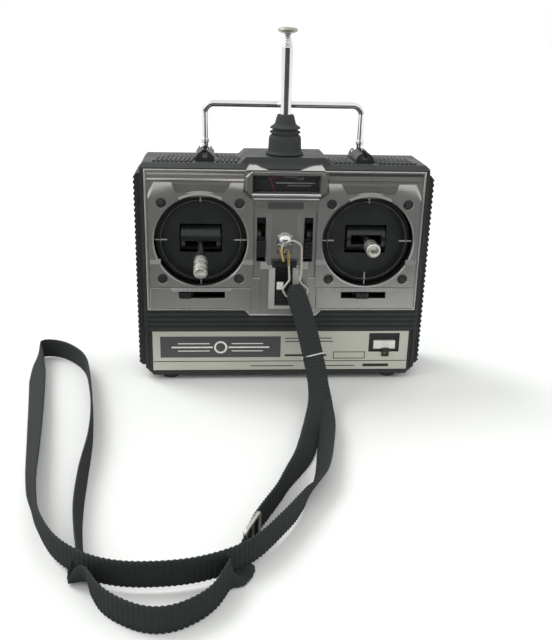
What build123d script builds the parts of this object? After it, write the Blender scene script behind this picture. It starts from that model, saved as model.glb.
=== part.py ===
from build123d import *
import os
from math import radians, tan

# Hand-held radio transmitter controller, in millimetres. +X is to the right of someone facing the
# panel, -Y is out of the panel towards them, +Z is up. The origin is on the floor under the middle.

# Driving dimensions of the case
FACE = -14.0          # y of the front panel's outer face
CASE_HALF = 86.5      # half width of the case without the side grips
CASE_BOTTOM = 3.0     # the case stands this high on its feet
CASE_TOP = 138.0
CASE_DEPTH = 48.0
SPLIT = 28.0          # depth where the front and rear shells meet
WALL = 2.5
PANEL = 1.0           # thickness of the front panel and the label plate
HUMP_TOP = 141.5      # raised middle of the top, under the aerial
GRIP_HALF = 91.0

# Stick units
STICK_X = 51.1        # each unit's centre from the middle
STICK_Z = 91.5
STICK_PIVOT = 14.0    # depth of the pivot behind the panel
STICK_REACH = 34.0    # pivot to tip
STICK_SWING = 28.0    # degrees each side of centre
OPENING_R = 28.15
BUCKET_R = 28.4
AXLE_R = 2.0
RUNNING = 0.05        # radial clearance of a running fit
DRUM_R = 8.5
DRUM_HALF = 12.0
BAIL_R = 12.5
TAIL = 15.5
SCREW_X = 23.3
SCREW_Z = 23.5

# Aerial
AERIAL_D = 20.0
AERIAL_R = 3.5
AERIAL_STEP = 0.4     # each section's radius is smaller by this much
AERIAL_WALL = 0.35
AERIAL_FOOT = 66.0
AERIAL_TOPS = (204.5, 206.2, 207.5, 208.7, 209.8, 210.8)

# Handle
HANDLE_X = 48.5
HANDLE_D = 35.0
HANDLE_PIVOT = 141.5
HANDLE_TOP = 169.5
HANDLE_R = 2.0

# Meter
METER_Z = 127.2
NEEDLE_PIVOT = 104.3
NEEDLE_LEAN = 20.5    # degrees left of upright at rest

# Neck strap
STRAP_WIDTH = 12.7
STRAP_THICK = 1.3
STRAP_LIFT = 2.2      # the upper band's height over the strand that it crosses
HOOK_R = 0.7
HOOK_LEAN = 8.0       # degrees that the hook's lower end stands out
HOOK_PIVOT = (0.0, FACE - 2.4, 92.6)


def at(depth):
    """The y of a depth behind the panel's outer face."""
    return FACE + depth


def block(x0, x1, d0, d1, z0, z1):
    size = Box(x1 - x0, d1 - d0, z1 - z0)
    return Pos((x0 + x1) / 2, at((d0 + d1) / 2), (z0 + z1) / 2) * size


def rod_x(x0, x1, depth, z, radius):
    return Pos((x0 + x1) / 2, at(depth), z) * Rot(0, 90, 0) * Cylinder(radius, abs(x1 - x0))


def rod_y(x, z, d0, d1, radius):
    return Pos(x, at((d0 + d1) / 2), z) * Rot(90, 0, 0) * Cylinder(radius, abs(d1 - d0))


def rod_z(x, depth, z0, z1, radius):
    return Pos(x, at(depth), (z0 + z1) / 2) * Cylinder(radius, abs(z1 - z0))


def plate_y(points, d0, d1):
    """A flat outline of x, z points, thick from one depth to another."""
    plane = Plane(origin=(0, at(d1), 0), x_dir=(1, 0, 0), z_dir=(0, -1, 0))
    return extrude(plane * make_face(Polyline(*points, close=True)), amount=d1 - d0)


def bar_x(points, x0, x1):
    """A flat outline of depth, z points, running from one x to another."""
    plane = Plane(origin=(x0, FACE, 0), x_dir=(0, 1, 0), z_dir=(1, 0, 0))
    return extrude(plane * make_face(Polyline(*points, close=True)), amount=x1 - x0)


def turned_z(points, depth):
    """A profile of radius, z points turned about an upright axis at x 0."""
    plane = Plane(origin=(0, at(depth), 0), x_dir=(1, 0, 0), z_dir=(0, -1, 0))
    return revolve(plane * make_face(Polyline(*points, close=True)), axis=Axis((0, at(depth), 0), (0, 0, 1)))


def save(name, *solids):
    shape = solids[0] if len(solids) == 1 else Compound(children=list(solids))
    export_step(shape, f"parts/{name}.step")


# Case

def case_outline(inset):
    """The shells' outline seen from the front, pulled in by the inset."""
    side = CASE_HALF - inset
    low = CASE_BOTTOM + inset
    top = CASE_TOP - inset
    cut = 5.0 - inset * 0.4
    corner = 1.8 - inset * 0.4
    crown = HUMP_TOP - inset
    right = [(side, low + cut), (side, top - corner), (side - corner, top), (27.5 - inset * 0.5, top),
             (24.0 - inset * 0.5, crown)]
    left = [(-x, z) for x, z in reversed(right)]
    return [(-side + cut, low), (side - cut, low)] + right + left


BOSSES = [(x, z) for x in (-78.5, 78.5) for z in (11.5, 129.5)]


def front_openings():
    """What the front wall leaves open behind the panel and the label plate."""
    holes = [rod_y(side * STICK_X, STICK_Z, 0, WALL + 2, OPENING_R + 0.15) for side in (-1, 1)]
    holes.append(block(-21.5, 21.5, 0, 4, 121.0, 133.5))
    holes.append(block(-5.2, 5.2, 0, 4, 51.0, 75.0))
    holes.append(block(56.3, 76.0, 0, 4, 18.6, 31.5))
    holes += [block(x - 2.7, x + 2.7, 0, 4, 79.0, 106.5) for x in (-14.4, 14.4)]
    holes += [block(x - 14.1, x + 14.1, 0, 4, 55.3, 59.5) for x in (-50.4, 50.4)]
    return holes


def ribbed_band():
    """The black strip between the two plates: four ribs across the whole width."""
    band = block(-84.4, 84.4, -0.3, PANEL, 33.4, 46.8)
    grooves = [block(-85, 85, -0.4, 0.4, z, z + 1.2) for z in (36.0, 39.2, 42.4, 45.6)]
    tab = plate_y([(-24.5, 47.4), (24.5, 47.4), (21.3, 43.3), (-21.3, 43.3)], -1, PANEL)
    return band - grooves - tab


def front_case():
    shell = plate_y(case_outline(0), PANEL, SPLIT) - plate_y(case_outline(WALL), PANEL + WALL, SPLIT + 1)
    shell += block(-24.5, 24.5, PANEL, 9.0, 134.4, 140.0)
    shell -= bar_x([(0.5, 135.2), (4.9, CASE_TOP), (6.5, HUMP_TOP + 0.1), (6.5, 150), (0.5, 150)], -100, 100)
    shell += [block(s * 85.45 - 1.05, s * 85.45 + 1.05, 0, PANEL, 8.0, 133.0) for s in (-1, 1)]
    shell += block(-82.0, 82.0, 0, PANEL, 3.6, 6.2)
    shell += ribbed_band()
    shell += [rod_y(x, z, PANEL + WALL - 0.5, SPLIT, 3.4) for x, z in BOSSES]
    shell -= front_openings()
    shell -= [rod_y(x, z, 10.0, SPLIT + 1, 1.4) for x, z in BOSSES]
    shell -= [rod_y(x, z, 0, 5, 1.5) for x, z in panel_screw_places()]
    shell -= rod_z(0, AERIAL_D, 130, 150, 6.2)
    shell -= [rod_z(x, 8.0, 0, 8, 2.0) for x in (-71, 71)]
    return shell


def rear_case():
    shell = plate_y(case_outline(0), SPLIT, CASE_DEPTH) - plate_y(case_outline(WALL), SPLIT - 1, 45.5)
    shell -= bar_x([(44.0, CASE_TOP + 0.1), (48.2, 134.3), (48.2, 150), (42.5, 150), (42.5, HUMP_TOP)], -100, 100)
    shell += [rod_y(x, z, SPLIT, 46.0, 3.4) for x, z in BOSSES]
    shell -= [rod_y(x, z, SPLIT - 1, 49, 1.5) for x, z in BOSSES]
    shell -= [rod_y(x, z, 46.3, 49, 3.0) for x, z in BOSSES]
    shell -= block(-54.4, 85.0, 46.1, 49, 9.6, 38.4)
    shell -= block(-54.4, 85.0, 46.1, 47.2, 8.4, 39.6)
    shell -= block(-50.0, 50.0, 44, 47, 12.0, 36.0)
    shell -= [block(x, x + 1.6, 44, 49, 60.0, 84.0) for x in range(-20, 21, 5)]
    shell -= rod_z(0, AERIAL_D, 130, 150, 6.2)
    shell -= [rod_z(x, 40.0, 0, 8, 2.0) for x in (-71, 71)]
    return shell


def side_grip(side):
    outline = [(86.6, 8.2), (89.0, 8.2), (GRIP_HALF, 10.2), (GRIP_HALF, 129.0), (88.8, 131.6), (86.6, 131.6)]
    grip = plate_y([(side * x, z) for x, z in outline], 6.0, 44.0)
    return grip - [rod_y(side * 91.5, 12.0 + i * 3.4, 5, 45, 1.2) for i in range(35)]


def rubber_feet():
    return [rod_z(x, d, 0, CASE_BOTTOM, 5.0) + rod_z(x, d, CASE_BOTTOM, 5.4, 1.9) for x in (-71, 71)
            for d in (8.0, 40.0)]


def case_screws():
    return [rod_y(x, z, 12.0, 46.5, 1.3) + rod_y(x, z, 46.4, 47.9, 2.7) for x, z in BOSSES]


# Panel and plates

def panel_screw_places():
    return [(side * STICK_X + dx, STICK_Z + dz) for side in (-1, 1) for dx in (-SCREW_X, SCREW_X)
            for dz in (-SCREW_Z, SCREW_Z)]


def face_plate():
    outline = [(-84.2, 47.2), (-24.2, 47.2), (-21.0, 43.6), (21.0, 43.6), (24.2, 47.2), (84.2, 47.2),
               (84.2, 135.0), (-84.2, 135.0)]
    plate = plate_y(outline, 0, PANEL)
    plate -= [rod_y(side * STICK_X, STICK_Z, -1, 2, OPENING_R) for side in (-1, 1)]
    plate -= [rod_y(x, z, -1, 2, 3.2) for x, z in panel_screw_places()]
    plate -= block(-21.5, 21.5, -1, 2, 121.0, 133.5)
    plate -= block(-5.2, 5.2, -1, 2, 51.0, 75.0)
    plate -= [block(x - 2.7, x + 2.7, -1, 2, 79.0, 106.5) for x in (-14.4, 14.4)]
    plate -= [block(x - 14.1, x + 14.1, -1, 2, 55.3, 59.5) for x in (-50.4, 50.4)]
    return plate


def label_plate():
    return block(-81.9, 81.9, 0, PANEL, 6.4, 33.2) - block(56.3, 76.0, -1, 2, 18.6, 31.5)


def gimbal_screws():
    head = [rod_y(x, z, -0.1, PANEL, 3.0) + rod_y(x, z, PANEL, 9.0, 1.3) for x, z in panel_screw_places()]
    slots = [block(x - 1.4, x + 1.4, -0.2, 0.5, z - 0.3, z + 0.3) + block(x - 0.3, x + 0.3, -0.2, 0.5, z - 1.4, z + 1.4)
             for x, z in panel_screw_places()]
    return [screw - slot for screw, slot in zip(head, slots)]


# Meter

def octagon(half_x, half_z, cut):
    right = [(half_x - cut, -half_z), (half_x, -half_z + cut), (half_x, half_z - cut), (half_x - cut, half_z)]
    left = [(-x, z) for x, z in reversed(right)]
    return [(x, METER_Z + z) for x, z in right + left]


def meter_bezel():
    frame = plate_y(octagon(24.7, 8.5, 4.0), -3.0, 0)
    frame = chamfer(frame.faces().sort_by(Axis.Y)[0].edges(), 1.2)
    return frame - block(-20.0, 20.0, -4, 1, 122.4, 132.0)


def meter_window():
    return block(-20.4, 20.4, 0.1, 1.3, 121.4, 133.1)


def meter_dial():
    return block(-21.2, 21.2, 4.9, 5.2, 121.3, 133.2)


def meter_body():
    body = block(-23.0, 23.0, 5.3, 15.0, 102.0, 134.0)
    return body - rod_y(0, NEEDLE_PIVOT, 4, 9, 0.6 + RUNNING)


def meter_needle():
    pointer = block(-0.35, 0.35, 4.0, 4.4, NEEDLE_PIVOT, 131.0)
    hub = rod_y(0, NEEDLE_PIVOT, 4.0, 4.4, 1.6) + rod_y(0, NEEDLE_PIVOT, 4.0, 8.0, 0.6)
    lean = Pos(0, 0, NEEDLE_PIVOT) * Rot(0, -NEEDLE_LEAN, 0) * Pos(0, 0, -NEEDLE_PIVOT)
    return lean * (pointer + hub)


# Stick units, built about x 0 and then placed

def gimbal_housing():
    bucket = rod_y(0, STICK_Z, 3.6, 33.5, BUCKET_R + 1.5)
    bucket += block(-29.9, 29.9, 3.6, 5.1, STICK_Z - 29.9, STICK_Z + 29.9)
    bucket -= rod_y(0, STICK_Z, 3, 32.0, BUCKET_R)
    bucket -= [rod_y(dx, STICK_Z + dz, 3, 6, 1.5) for dx in (-SCREW_X, SCREW_X) for dz in (-SCREW_Z, SCREW_Z)]
    bucket -= rod_x(-35, 35, STICK_PIVOT, STICK_Z, AXLE_R + RUNNING)
    bucket -= rod_z(0, STICK_PIVOT, STICK_Z - 35, STICK_Z + 35, AXLE_R + RUNNING)
    return bucket


def gimbal_ring():
    ring = rod_y(0, STICK_Z, 4.0, 5.4, 25.0) - rod_y(0, STICK_Z, 3, 6, 23.6)
    bar = block(20.0, 28.2, 4.2, 5.2, -0.6, 0.6)
    return ring + [Pos(0, 0, STICK_Z) * Rot(0, angle, 0) * bar for angle in (0, 90, 180, 270)]


def gimbal_cradle(pot_side):
    drum = rod_x(-DRUM_HALF, DRUM_HALF, STICK_PIVOT, STICK_Z, DRUM_R)
    drum -= block(-9.5, 9.5, 0, 30, STICK_Z - 3.0, STICK_Z + 3.0)
    drum -= rod_z(0, STICK_PIVOT, STICK_Z - 7.2, STICK_Z + 7.2, 1.2 + RUNNING)
    drum += rod_x(pot_side * 11.5, pot_side * 34.0, STICK_PIVOT, STICK_Z, AXLE_R)
    return drum + rod_x(-pot_side * 11.5, -pot_side * 29.4, STICK_PIVOT, STICK_Z, AXLE_R)


def gimbal_bail():
    ring = rod_x(-4.0, 4.0, STICK_PIVOT, STICK_Z, BAIL_R + 2) - rod_x(-5, 5, STICK_PIVOT, STICK_Z, BAIL_R)
    ring -= block(-6, 6, -2, STICK_PIVOT - 2.6, STICK_Z - 16, STICK_Z + 16)
    ring -= block(-2.7, 2.7, STICK_PIVOT + 5, 30, STICK_Z - 9.0, STICK_Z + 9.0)
    ring += rod_z(0, STICK_PIVOT, STICK_Z + BAIL_R + 0.5, STICK_Z + 34.0, AXLE_R)
    return ring + rod_z(0, STICK_PIVOT, STICK_Z - 29.4, STICK_Z - BAIL_R - 0.5, AXLE_R)


def stick():
    tip = STICK_PIVOT - STICK_REACH
    shaft = rod_y(0, STICK_Z, tip + 2.0, STICK_PIVOT, 2.0)
    sleeve = Pos(0, at(tip + 18.5), STICK_Z) * Rot(90, 0, 0) * Cone(2.2, 3.4, 13.0)
    hub = rod_z(0, STICK_PIVOT, STICK_Z - 2.7, STICK_Z + 2.7, 3.4)
    pin = rod_z(0, STICK_PIVOT, STICK_Z - 7.0, STICK_Z + 7.0, 1.2)
    return shaft + sleeve + hub + pin + rod_y(0, STICK_Z, STICK_PIVOT, STICK_PIVOT + TAIL, 1.5)


def stick_head():
    tip = STICK_PIVOT - STICK_REACH
    head = rod_y(0, STICK_Z, tip, tip + 12.0, 4.3)
    head = chamfer(head.edges().filter_by(GeomType.CIRCLE), 0.6)
    for depth in (tip + 4.0, tip + 8.4):
        head -= rod_y(0, STICK_Z, depth, depth + 0.8, 5.0) - rod_y(0, STICK_Z, depth, depth + 0.8, 3.8)
    return head - rod_y(0, STICK_Z, tip + 2.0, tip + 13, 2.0)


def tipped(shape, degrees_down):
    """Turns a piece of a stick unit about the unit's cross axle, tip down."""
    return Pos(0, at(STICK_PIVOT), STICK_Z) * Rot(degrees_down, 0, 0) * Pos(0, -at(STICK_PIVOT), -STICK_Z) * shape


def stick_pots():
    pots = []
    for side in (-1, 1):
        inner = side * (STICK_X - 30.1)
        far = side * (STICK_X - 37.0)
        across = rod_x(inner, far, STICK_PIVOT, STICK_Z, 8.0)
        pots.append(across - rod_x(inner, side * (STICK_X - 34.4), STICK_PIVOT, STICK_Z, AXLE_R + RUNNING))
        upright = rod_z(side * STICK_X, STICK_PIVOT, STICK_Z + 30.1, STICK_Z + 37.0, 8.0)
        pots.append(upright - rod_z(side * STICK_X, STICK_PIVOT, STICK_Z + 30, STICK_Z + 34.4, AXLE_R + RUNNING))
    return pots


def centring_springs():
    cross = rod_x(STICK_X + 15, STICK_X + 21, STICK_PIVOT, STICK_Z, 3.3)
    springs = [cross - rod_x(STICK_X + 14, STICK_X + 22, STICK_PIVOT, STICK_Z, 2.35)]
    for side in (-1, 1):
        upright = rod_z(side * STICK_X, STICK_PIVOT, STICK_Z + 18, STICK_Z + 24, 3.3)
        springs.append(upright - rod_z(side * STICK_X, STICK_PIVOT, STICK_Z + 17, STICK_Z + 25, 2.35))
    return springs


# Trims, switch and crystal

def upright_trim(x, z):
    knob = block(x - 2.4, x + 2.4, -2.0, 4.2, z - 5.1, z + 5.1)
    knob -= [block(x - 3, x + 3, -2.2, -1.2, z + i * 1.7 - 0.4, z + i * 1.7 + 0.4) for i in range(-2, 3)]
    return knob + block(x - 3.8, x + 3.8, 3.8, 4.9, z - 6.0, z + 6.0)


def level_trim(x, half_width):
    knob = block(x - half_width, x + half_width, -2.0, 4.2, 55.7, 59.1)
    knob -= [block(x + i * 1.5 - 0.35, x + i * 1.5 + 0.35, -2.2, -1.2, 55, 60) for i in range(-1, 2)]
    return knob + block(x - half_width - 1.2, x + half_width + 1.2, 3.8, 4.9, 54.3, 60.5)


def power_switch_body():
    body = block(-8.0, 8.0, 3.7, 14.0, 47.5, 78.5)
    return body - block(-5.3, 5.3, 3, 6.4, 50.8, 75.4)


def power_switch_slider():
    knob = block(-4.8, 4.8, -0.8, 6.0, 51.3, 66.3)
    knob -= [block(-5, 5, -1, -0.3, z, z + 0.7) for z in (53.0, 55.0, 57.0, 59.0)]
    return knob


def power_switch_frame():
    frame = block(-9.4, 9.4, -0.9, 0, 48.6, 77.0) - block(-5.6, 5.6, -2, 1, 50.6, 75.4)
    return frame


def crystal_holder():
    holder = block(56.8, 75.5, 0.8, 12.0, 19.1, 31.0)
    holder -= block(58.3, 74.0, 0, 2.0, 21.0, 29.0)
    holder += block(64.8, 69.4, -1.4, -0.2, 16.0, 21.5) - block(66.0, 68.2, -2, 3, 17.2, 18.6)
    holder += block(64.8, 69.4, -1.4, 2.0, 19.4, 21.5)
    return holder + [rod_y(x, 25.0, 12.0, 17.0, 0.6) for x in (63.7, 68.6)]


def crystal_socket():
    socket = block(57.5, 75.0, 12.4, 19.0, 19.5, 30.5)
    return socket - [rod_y(x, 25.0, 12, 17.4, 0.65) for x in (63.7, 68.6)]


# Aerial

def antenna_tube(i):
    outer = AERIAL_R - AERIAL_STEP * i
    foot = AERIAL_FOOT + i
    top = AERIAL_TOPS[i]
    tube = rod_z(0, AERIAL_D, foot, top, outer)
    if i < len(AERIAL_TOPS) - 1:
        tube -= rod_z(0, AERIAL_D, foot - 1, top + 1, outer - AERIAL_WALL)
    return tube


def antenna_tip():
    profile = [(0, 210.8), (2.2, 210.8), (2.2, 212.2), (5.2, 212.8), (5.8, 213.4), (5.6, 214.0), (0, 214.5)]
    return turned_z(profile, AERIAL_D)


def antenna_socket():
    base = rod_z(0, AERIAL_D, 58.0, 74.0, 6.0) - rod_z(0, AERIAL_D, AERIAL_FOOT, 75, AERIAL_R)
    collar = rod_z(0, AERIAL_D, 134.0, HUMP_TOP, 6.0) - rod_z(0, AERIAL_D, 133, 142, AERIAL_R)
    return [base, collar]


def antenna_boot():
    outside = [(11.5, 141.6), (11.5, 142.6), (10.6, 143.4), (10.0, 144.0), (9.7, 152.0), (8.2, 153.4),
               (8.2, 154.2), (9.3, 154.4), (9.3, 155.3), (7.6, 155.6), (7.6, 156.9), (9.3, 157.1),
               (9.3, 158.0), (6.9, 159.4), (5.2, 164.2), (4.6, 165.4), (AERIAL_R + RUNNING, 165.4)]
    return turned_z([(AERIAL_R + RUNNING, 141.6)] + outside, AERIAL_D)


# Handle

def carry_handle():
    y = at(HANDLE_D)
    points = [(-HANDLE_X, y, HANDLE_PIVOT), (-HANDLE_X, y, HANDLE_TOP), (HANDLE_X, y, HANDLE_TOP),
              (HANDLE_X, y, HANDLE_PIVOT)]
    path = FilletPolyline(*points, radius=5.5)
    bail = sweep(Pos(*points[0]) * Circle(HANDLE_R), path)
    for x in (-HANDLE_X, HANDLE_X):
        bail += rod_z(x, HANDLE_D, HANDLE_PIVOT + 4.2, HANDLE_PIVOT + 7.2, 2.9)
        bail += rod_x(x - 4.9, x + 4.9, HANDLE_D, HANDLE_PIVOT, 1.0)
        bail += rod_x(x - 2.0, x + 2.0, HANDLE_D, HANDLE_PIVOT, 2.0)
    return bail


def handle_socket(x):
    dome = rod_y(x, CASE_TOP + 0.2, 12.0, 41.5, 5.8) - block(x - 7, x + 7, 10, 45, 120, CASE_TOP)
    dome -= block(x - 3.3, x + 3.3, HANDLE_D - 3.3, HANDLE_D + 3.3, 138.9, 150)
    dome -= block(x - 3.3, x + 3.3, HANDLE_D, HANDLE_D + 8, CASE_TOP - 1, 150)
    dome -= block(x - 1.6, x + 1.6, 11, HANDLE_D, 140.0, 150)
    return dome - rod_x(x - 5.2, x + 5.2, HANDLE_D, HANDLE_PIVOT, 1.0 + RUNNING)


# Neck strap and its fittings

def strap_eyelet():
    base = block(-4.7, 4.7, -0.8, 0, 84.5, 97.0)
    dome = Pos(0, at(0), 94.2) * Sphere(4.7)
    dome = dome & block(-6, 6, -6, 0, 94.2, 100)
    post = block(-0.7, 0.7, -5.1, -4.2, 84.6, 93.4)
    foot = block(-0.7, 0.7, -5.1, 0, 84.6, 85.8)
    return base + dome + post + foot


def snap_hook():
    outline = [(-1.0, 80.4), (-2.4, 86.6), (-1.2, 91.2), (4.2, 93.5), (10.2, 90.4), (10.2, 73.0), (9.0, 67.4),
               (15.0, 62.6), (12.2, 58.8), (1.4, 58.6), (-1.4, 62.8), (3.0, 68.6), (2.0, 86.0)]
    radii = [2.5, 3.0, 4.5, 4.5, 6.0, 4.0, 1.8, 2.0, 2.0, 2.0, 1.8]
    lean = Pos(*HOOK_PIVOT) * Rot(-HOOK_LEAN, 0, 0) * Pos(0, 0, -HOOK_PIVOT[2])
    nose = (-1.6, -0.8)
    depths = nose + (0,) * (len(outline) - len(nose))
    points = [(x, y, z) for (x, z), y in zip(outline, depths)]
    path = FilletPolyline(*points, radius=radii)
    section = Plane(origin=path @ 0, z_dir=path % 0) * Circle(HOOK_R)
    return lean * sweep(section, path)


def corner_radii(points):
    """An arc at each corner as large as the two runs beside it allow."""
    radii = []
    for a, b, c in zip(points, points[1:], points[2:]):
        before = Vector(*b) - Vector(*a)
        after = Vector(*c) - Vector(*b)
        turn = radians(before.get_angle(after))
        radii.append(0.45 * min(before.length, after.length) / tan(turn / 2))
    return radii


def ribbon(name, points, width_dir, thickness):
    """A strap of constant section along straight runs joined by tangent arcs."""
    places = [(x, at(d), z) for x, d, z in points]
    radii = corner_radii(places)
    path = FilletPolyline(*places, radius=radii) if radii else Line(*places)
    plane = Plane(origin=path @ 0, x_dir=width_dir, z_dir=path % 0)
    strap = sweep(plane * Rectangle(STRAP_WIDTH, thickness), path)
    print(name, "radii", [round(r, 1) for r in radii], "length", round(path.length, 1),
          "volume ratio", round(strap.volume / (path.length * STRAP_WIDTH * thickness), 4))
    return strap


# The strap's route as x, depth, z: down from the hook to the floor, round the long loop on edge,
# under the loop's own upper band twice, and back to the hook through the adjusting buckle.
HANGING = [(6.9, -9.0, 57.6), (11.0, -15.0, 45.0), (16.6, -26.0, 27.0), (19.6, -39.0, 12.0), (20.6, -54.0, 3.0)]
LOOP = [(24.5, -55.2), (27.5, -86.0), (15.0, -124.0), (-1.0, -156.0), (-21.0, -187.0), (-50.0, -197.0),
        (-86.0, -196.0), (-114.0, -174.0), (-129.0, -145.0), (-137.0, -100.0), (-147.0, -50.0), (-156.0, -4.0),
        (-162.0, 36.0), (-147.0, 46.0), (-127.0, 25.0), (-118.0, -12.0), (-112.0, -55.0), (-107.0, -100.0),
        (-108.0, -140.0), (-100.5, -176.0)]
UNDER_LEFT = [(-100.5, -176.2), (-96.5, -188.5), (-90.5, -203.0)]
LOWER = [(-90.3, -203.2), (-82.0, -221.5), (-62.0, -230.0), (-43.5, -219.0), (-35.5, -204.5)]
UNDER_RIGHT = [(-35.4, -204.3), (-31.5, -193.0), (-28.5, -178.0)]
FRONT_LEG = [(-28.4, -177.8), (-22.0, -163.5), (-13.0, -144.0), (2.5, -116.0), (12.5, -90.0), (17.5, -55.2)]


def on_edge(route, lift):
    return [(x, d, STRAP_WIDTH / 2 + lift) for x, d in route]


def lying_flat(route):
    return [(x, d, STRAP_THICK / 2) for x, d in route]


def across(route):
    """The level direction across a route's first run."""
    (x0, d0), (x1, d1) = route[:2]
    return (d1 - d0, x0 - x1, 0)


def strap_hanging():
    return ribbon("strap_hanging", HANGING, (1, 0, 0), 2 * STRAP_THICK)


def strap_loop():
    return ribbon("strap_loop", on_edge(LOOP, STRAP_LIFT), (0, 0, 1), STRAP_THICK)


def strap_return():
    return [ribbon("under_left", lying_flat(UNDER_LEFT), across(UNDER_LEFT), STRAP_THICK),
            ribbon("lower", on_edge(LOWER, 0), (0, 0, 1), STRAP_THICK),
            ribbon("under_right", lying_flat(UNDER_RIGHT), across(UNDER_RIGHT), STRAP_THICK),
            ribbon("front_leg", on_edge(FRONT_LEG, 0), (0, 0, 1), STRAP_THICK)]


def strap_keeper():
    """A thin wire band around both layers of the hanging strap."""
    (x, d, z) = HANGING[2]
    before = Vector(*HANGING[1]) - Vector(x, d, z)
    plane = Plane(origin=(x, at(d), z), x_dir=(1, 0, 0), z_dir=(0, before.Y, before.Z))
    outer = Rectangle(STRAP_WIDTH + 3.2, 2 * STRAP_THICK + 3.2)
    inner = Rectangle(STRAP_WIDTH + 1.6, 2 * STRAP_THICK + 1.6)
    return extrude(plane * (outer - inner), amount=0.8, both=False)


def strap_buckle():
    """A flat wire slide with a middle bar, beside the strap that it adjusts."""
    (x0, d0), (x1, d1) = FRONT_LEG[0], FRONT_LEG[1]
    along = Vector(x1 - x0, d1 - d0, 0).normalized()
    out = Vector(-along.Y, along.X, 0)
    centre = Vector(x0, at(d0), 8.4) + along * 7.5 + out * (STRAP_THICK / 2 + 0.05)
    plane = Plane(origin=centre, x_dir=along, z_dir=out)
    frame = Rectangle(13.0, 16.8) - Rectangle(9.4, 13.2) + Rectangle(1.8, 16.0)
    return extrude(plane * frame, amount=1.4)


# Power and electronics

def battery_door():
    door = block(-54.0, 54.0, 46.4, CASE_DEPTH, 10.0, 38.0) + block(-54.0, 54.0, 46.4, 46.9, 8.9, 39.1)
    return door - [block(x, x + 1.2, 47.4, 49, 16.0, 32.0) for x in (-48, -45, -42, -39)]


def battery_holder():
    tray = block(-54.0, 54.0, 15.0, 45.2, 6.0, 38.0) - block(-52.8, 52.8, 16.2, 46, 7.2, 36.8)
    return tray + block(-0.5, 0.5, 16.0, 45.2, 7.0, 37.0)


def battery_cells():
    cells = []
    for x in (-26.5, 26.5):
        for d in (23.7, 38.3):
            for z in (14.6, 29.4):
                cells.append(rod_x(x - 24.7, x + 23.3, d, z, 7.15) + rod_x(x + 23.3, x + 24.7, d, z, 2.7))
    return cells


def main_board():
    board = block(-62.0, 62.0, 36.0, 37.6, 52.0, 128.0)
    cans = [block(x - 3.6, x + 3.6, 26.5, 36.0, z - 3.6, z + 3.6) for x in (-11.0, 11.0) for z in (66.0, 80.0, 94.0)]
    cans.append(block(-9.5, 9.5, 31.0, 36.0, 105.0, 113.0))
    cans += [rod_y(x, 120.0, 29.0, 36.0, 3.2) for x in (-14.0, 0.0, 14.0)]
    return [board] + cans


def main():
    os.makedirs("parts", exist_ok=True)
    save("front_case", front_case())
    save("rear_case", rear_case())
    save("rubber_feet", *rubber_feet())
    save("case_screws", *case_screws())
    save("face_plate", face_plate())
    save("label_plate", label_plate())
    save("name_badge", block(-77.0, -0.8, -0.4, 0, 15.4, 29.6))
    save("gimbal_screws", *gimbal_screws())
    save("meter_bezel", meter_bezel())
    save("meter_window", meter_window())
    save("meter_dial", meter_dial())
    save("meter_body", meter_body())
    save("meter_needle", meter_needle())
    for name, side, rest_tilt in (("left", -1, STICK_SWING), ("right", 1, 0.0)):
        place = Pos(side * STICK_X, 0, 0)
        save(f"{name}_side_grip", side_grip(side))
        save(f"{name}_gimbal_housing", place * gimbal_housing())
        save(f"{name}_gimbal_ring", place * gimbal_ring())
        save(f"{name}_gimbal_cradle", place * tipped(gimbal_cradle(-side), rest_tilt))
        save(f"{name}_gimbal_bail", place * gimbal_bail())
        save(f"{name}_stick", place * tipped(stick(), rest_tilt))
        save(f"{name}_stick_head", place * tipped(stick_head(), rest_tilt))
    save("stick_pots", *stick_pots())
    save("centring_springs", *centring_springs())
    save("left_upright_trim", upright_trim(-14.4, 87.5))
    save("right_upright_trim", upright_trim(14.4, 86.5))
    save("left_level_trim", level_trim(-60.7, 3.4))
    save("right_level_trim", level_trim(49.6, 3.8))
    save("power_switch_body", power_switch_body())
    save("power_switch_slider", power_switch_slider())
    save("power_switch_frame", power_switch_frame())
    save("crystal_holder", crystal_holder())
    save("crystal_socket", crystal_socket())
    for i in range(len(AERIAL_TOPS)):
        save(f"antenna_tube_{i + 1}", antenna_tube(i))
    save("antenna_tip", antenna_tip())
    save("antenna_socket", *antenna_socket())
    save("antenna_boot", antenna_boot())
    save("carry_handle", carry_handle())
    save("handle_sockets", handle_socket(-HANDLE_X), handle_socket(HANDLE_X))
    save("strap_eyelet", strap_eyelet())
    save("snap_hook", snap_hook())
    save("strap_hanging", strap_hanging())
    save("strap_loop", strap_loop())
    save("strap_return", *strap_return())
    save("strap_keeper", strap_keeper())
    save("strap_buckle", strap_buckle())
    save("battery_door", battery_door())
    save("battery_holder", battery_holder())
    save("battery_cells", *battery_cells())
    save("main_board", *main_board())


main()
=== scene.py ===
from math import cos, pi, radians, sin

import bmesh
import bpy
import numpy as np
from bpy.props import FloatProperty, FloatVectorProperty, IntProperty, PointerProperty
from mathutils import Matrix, Vector
from mathutils.geometry import tessellate_polygon


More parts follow.
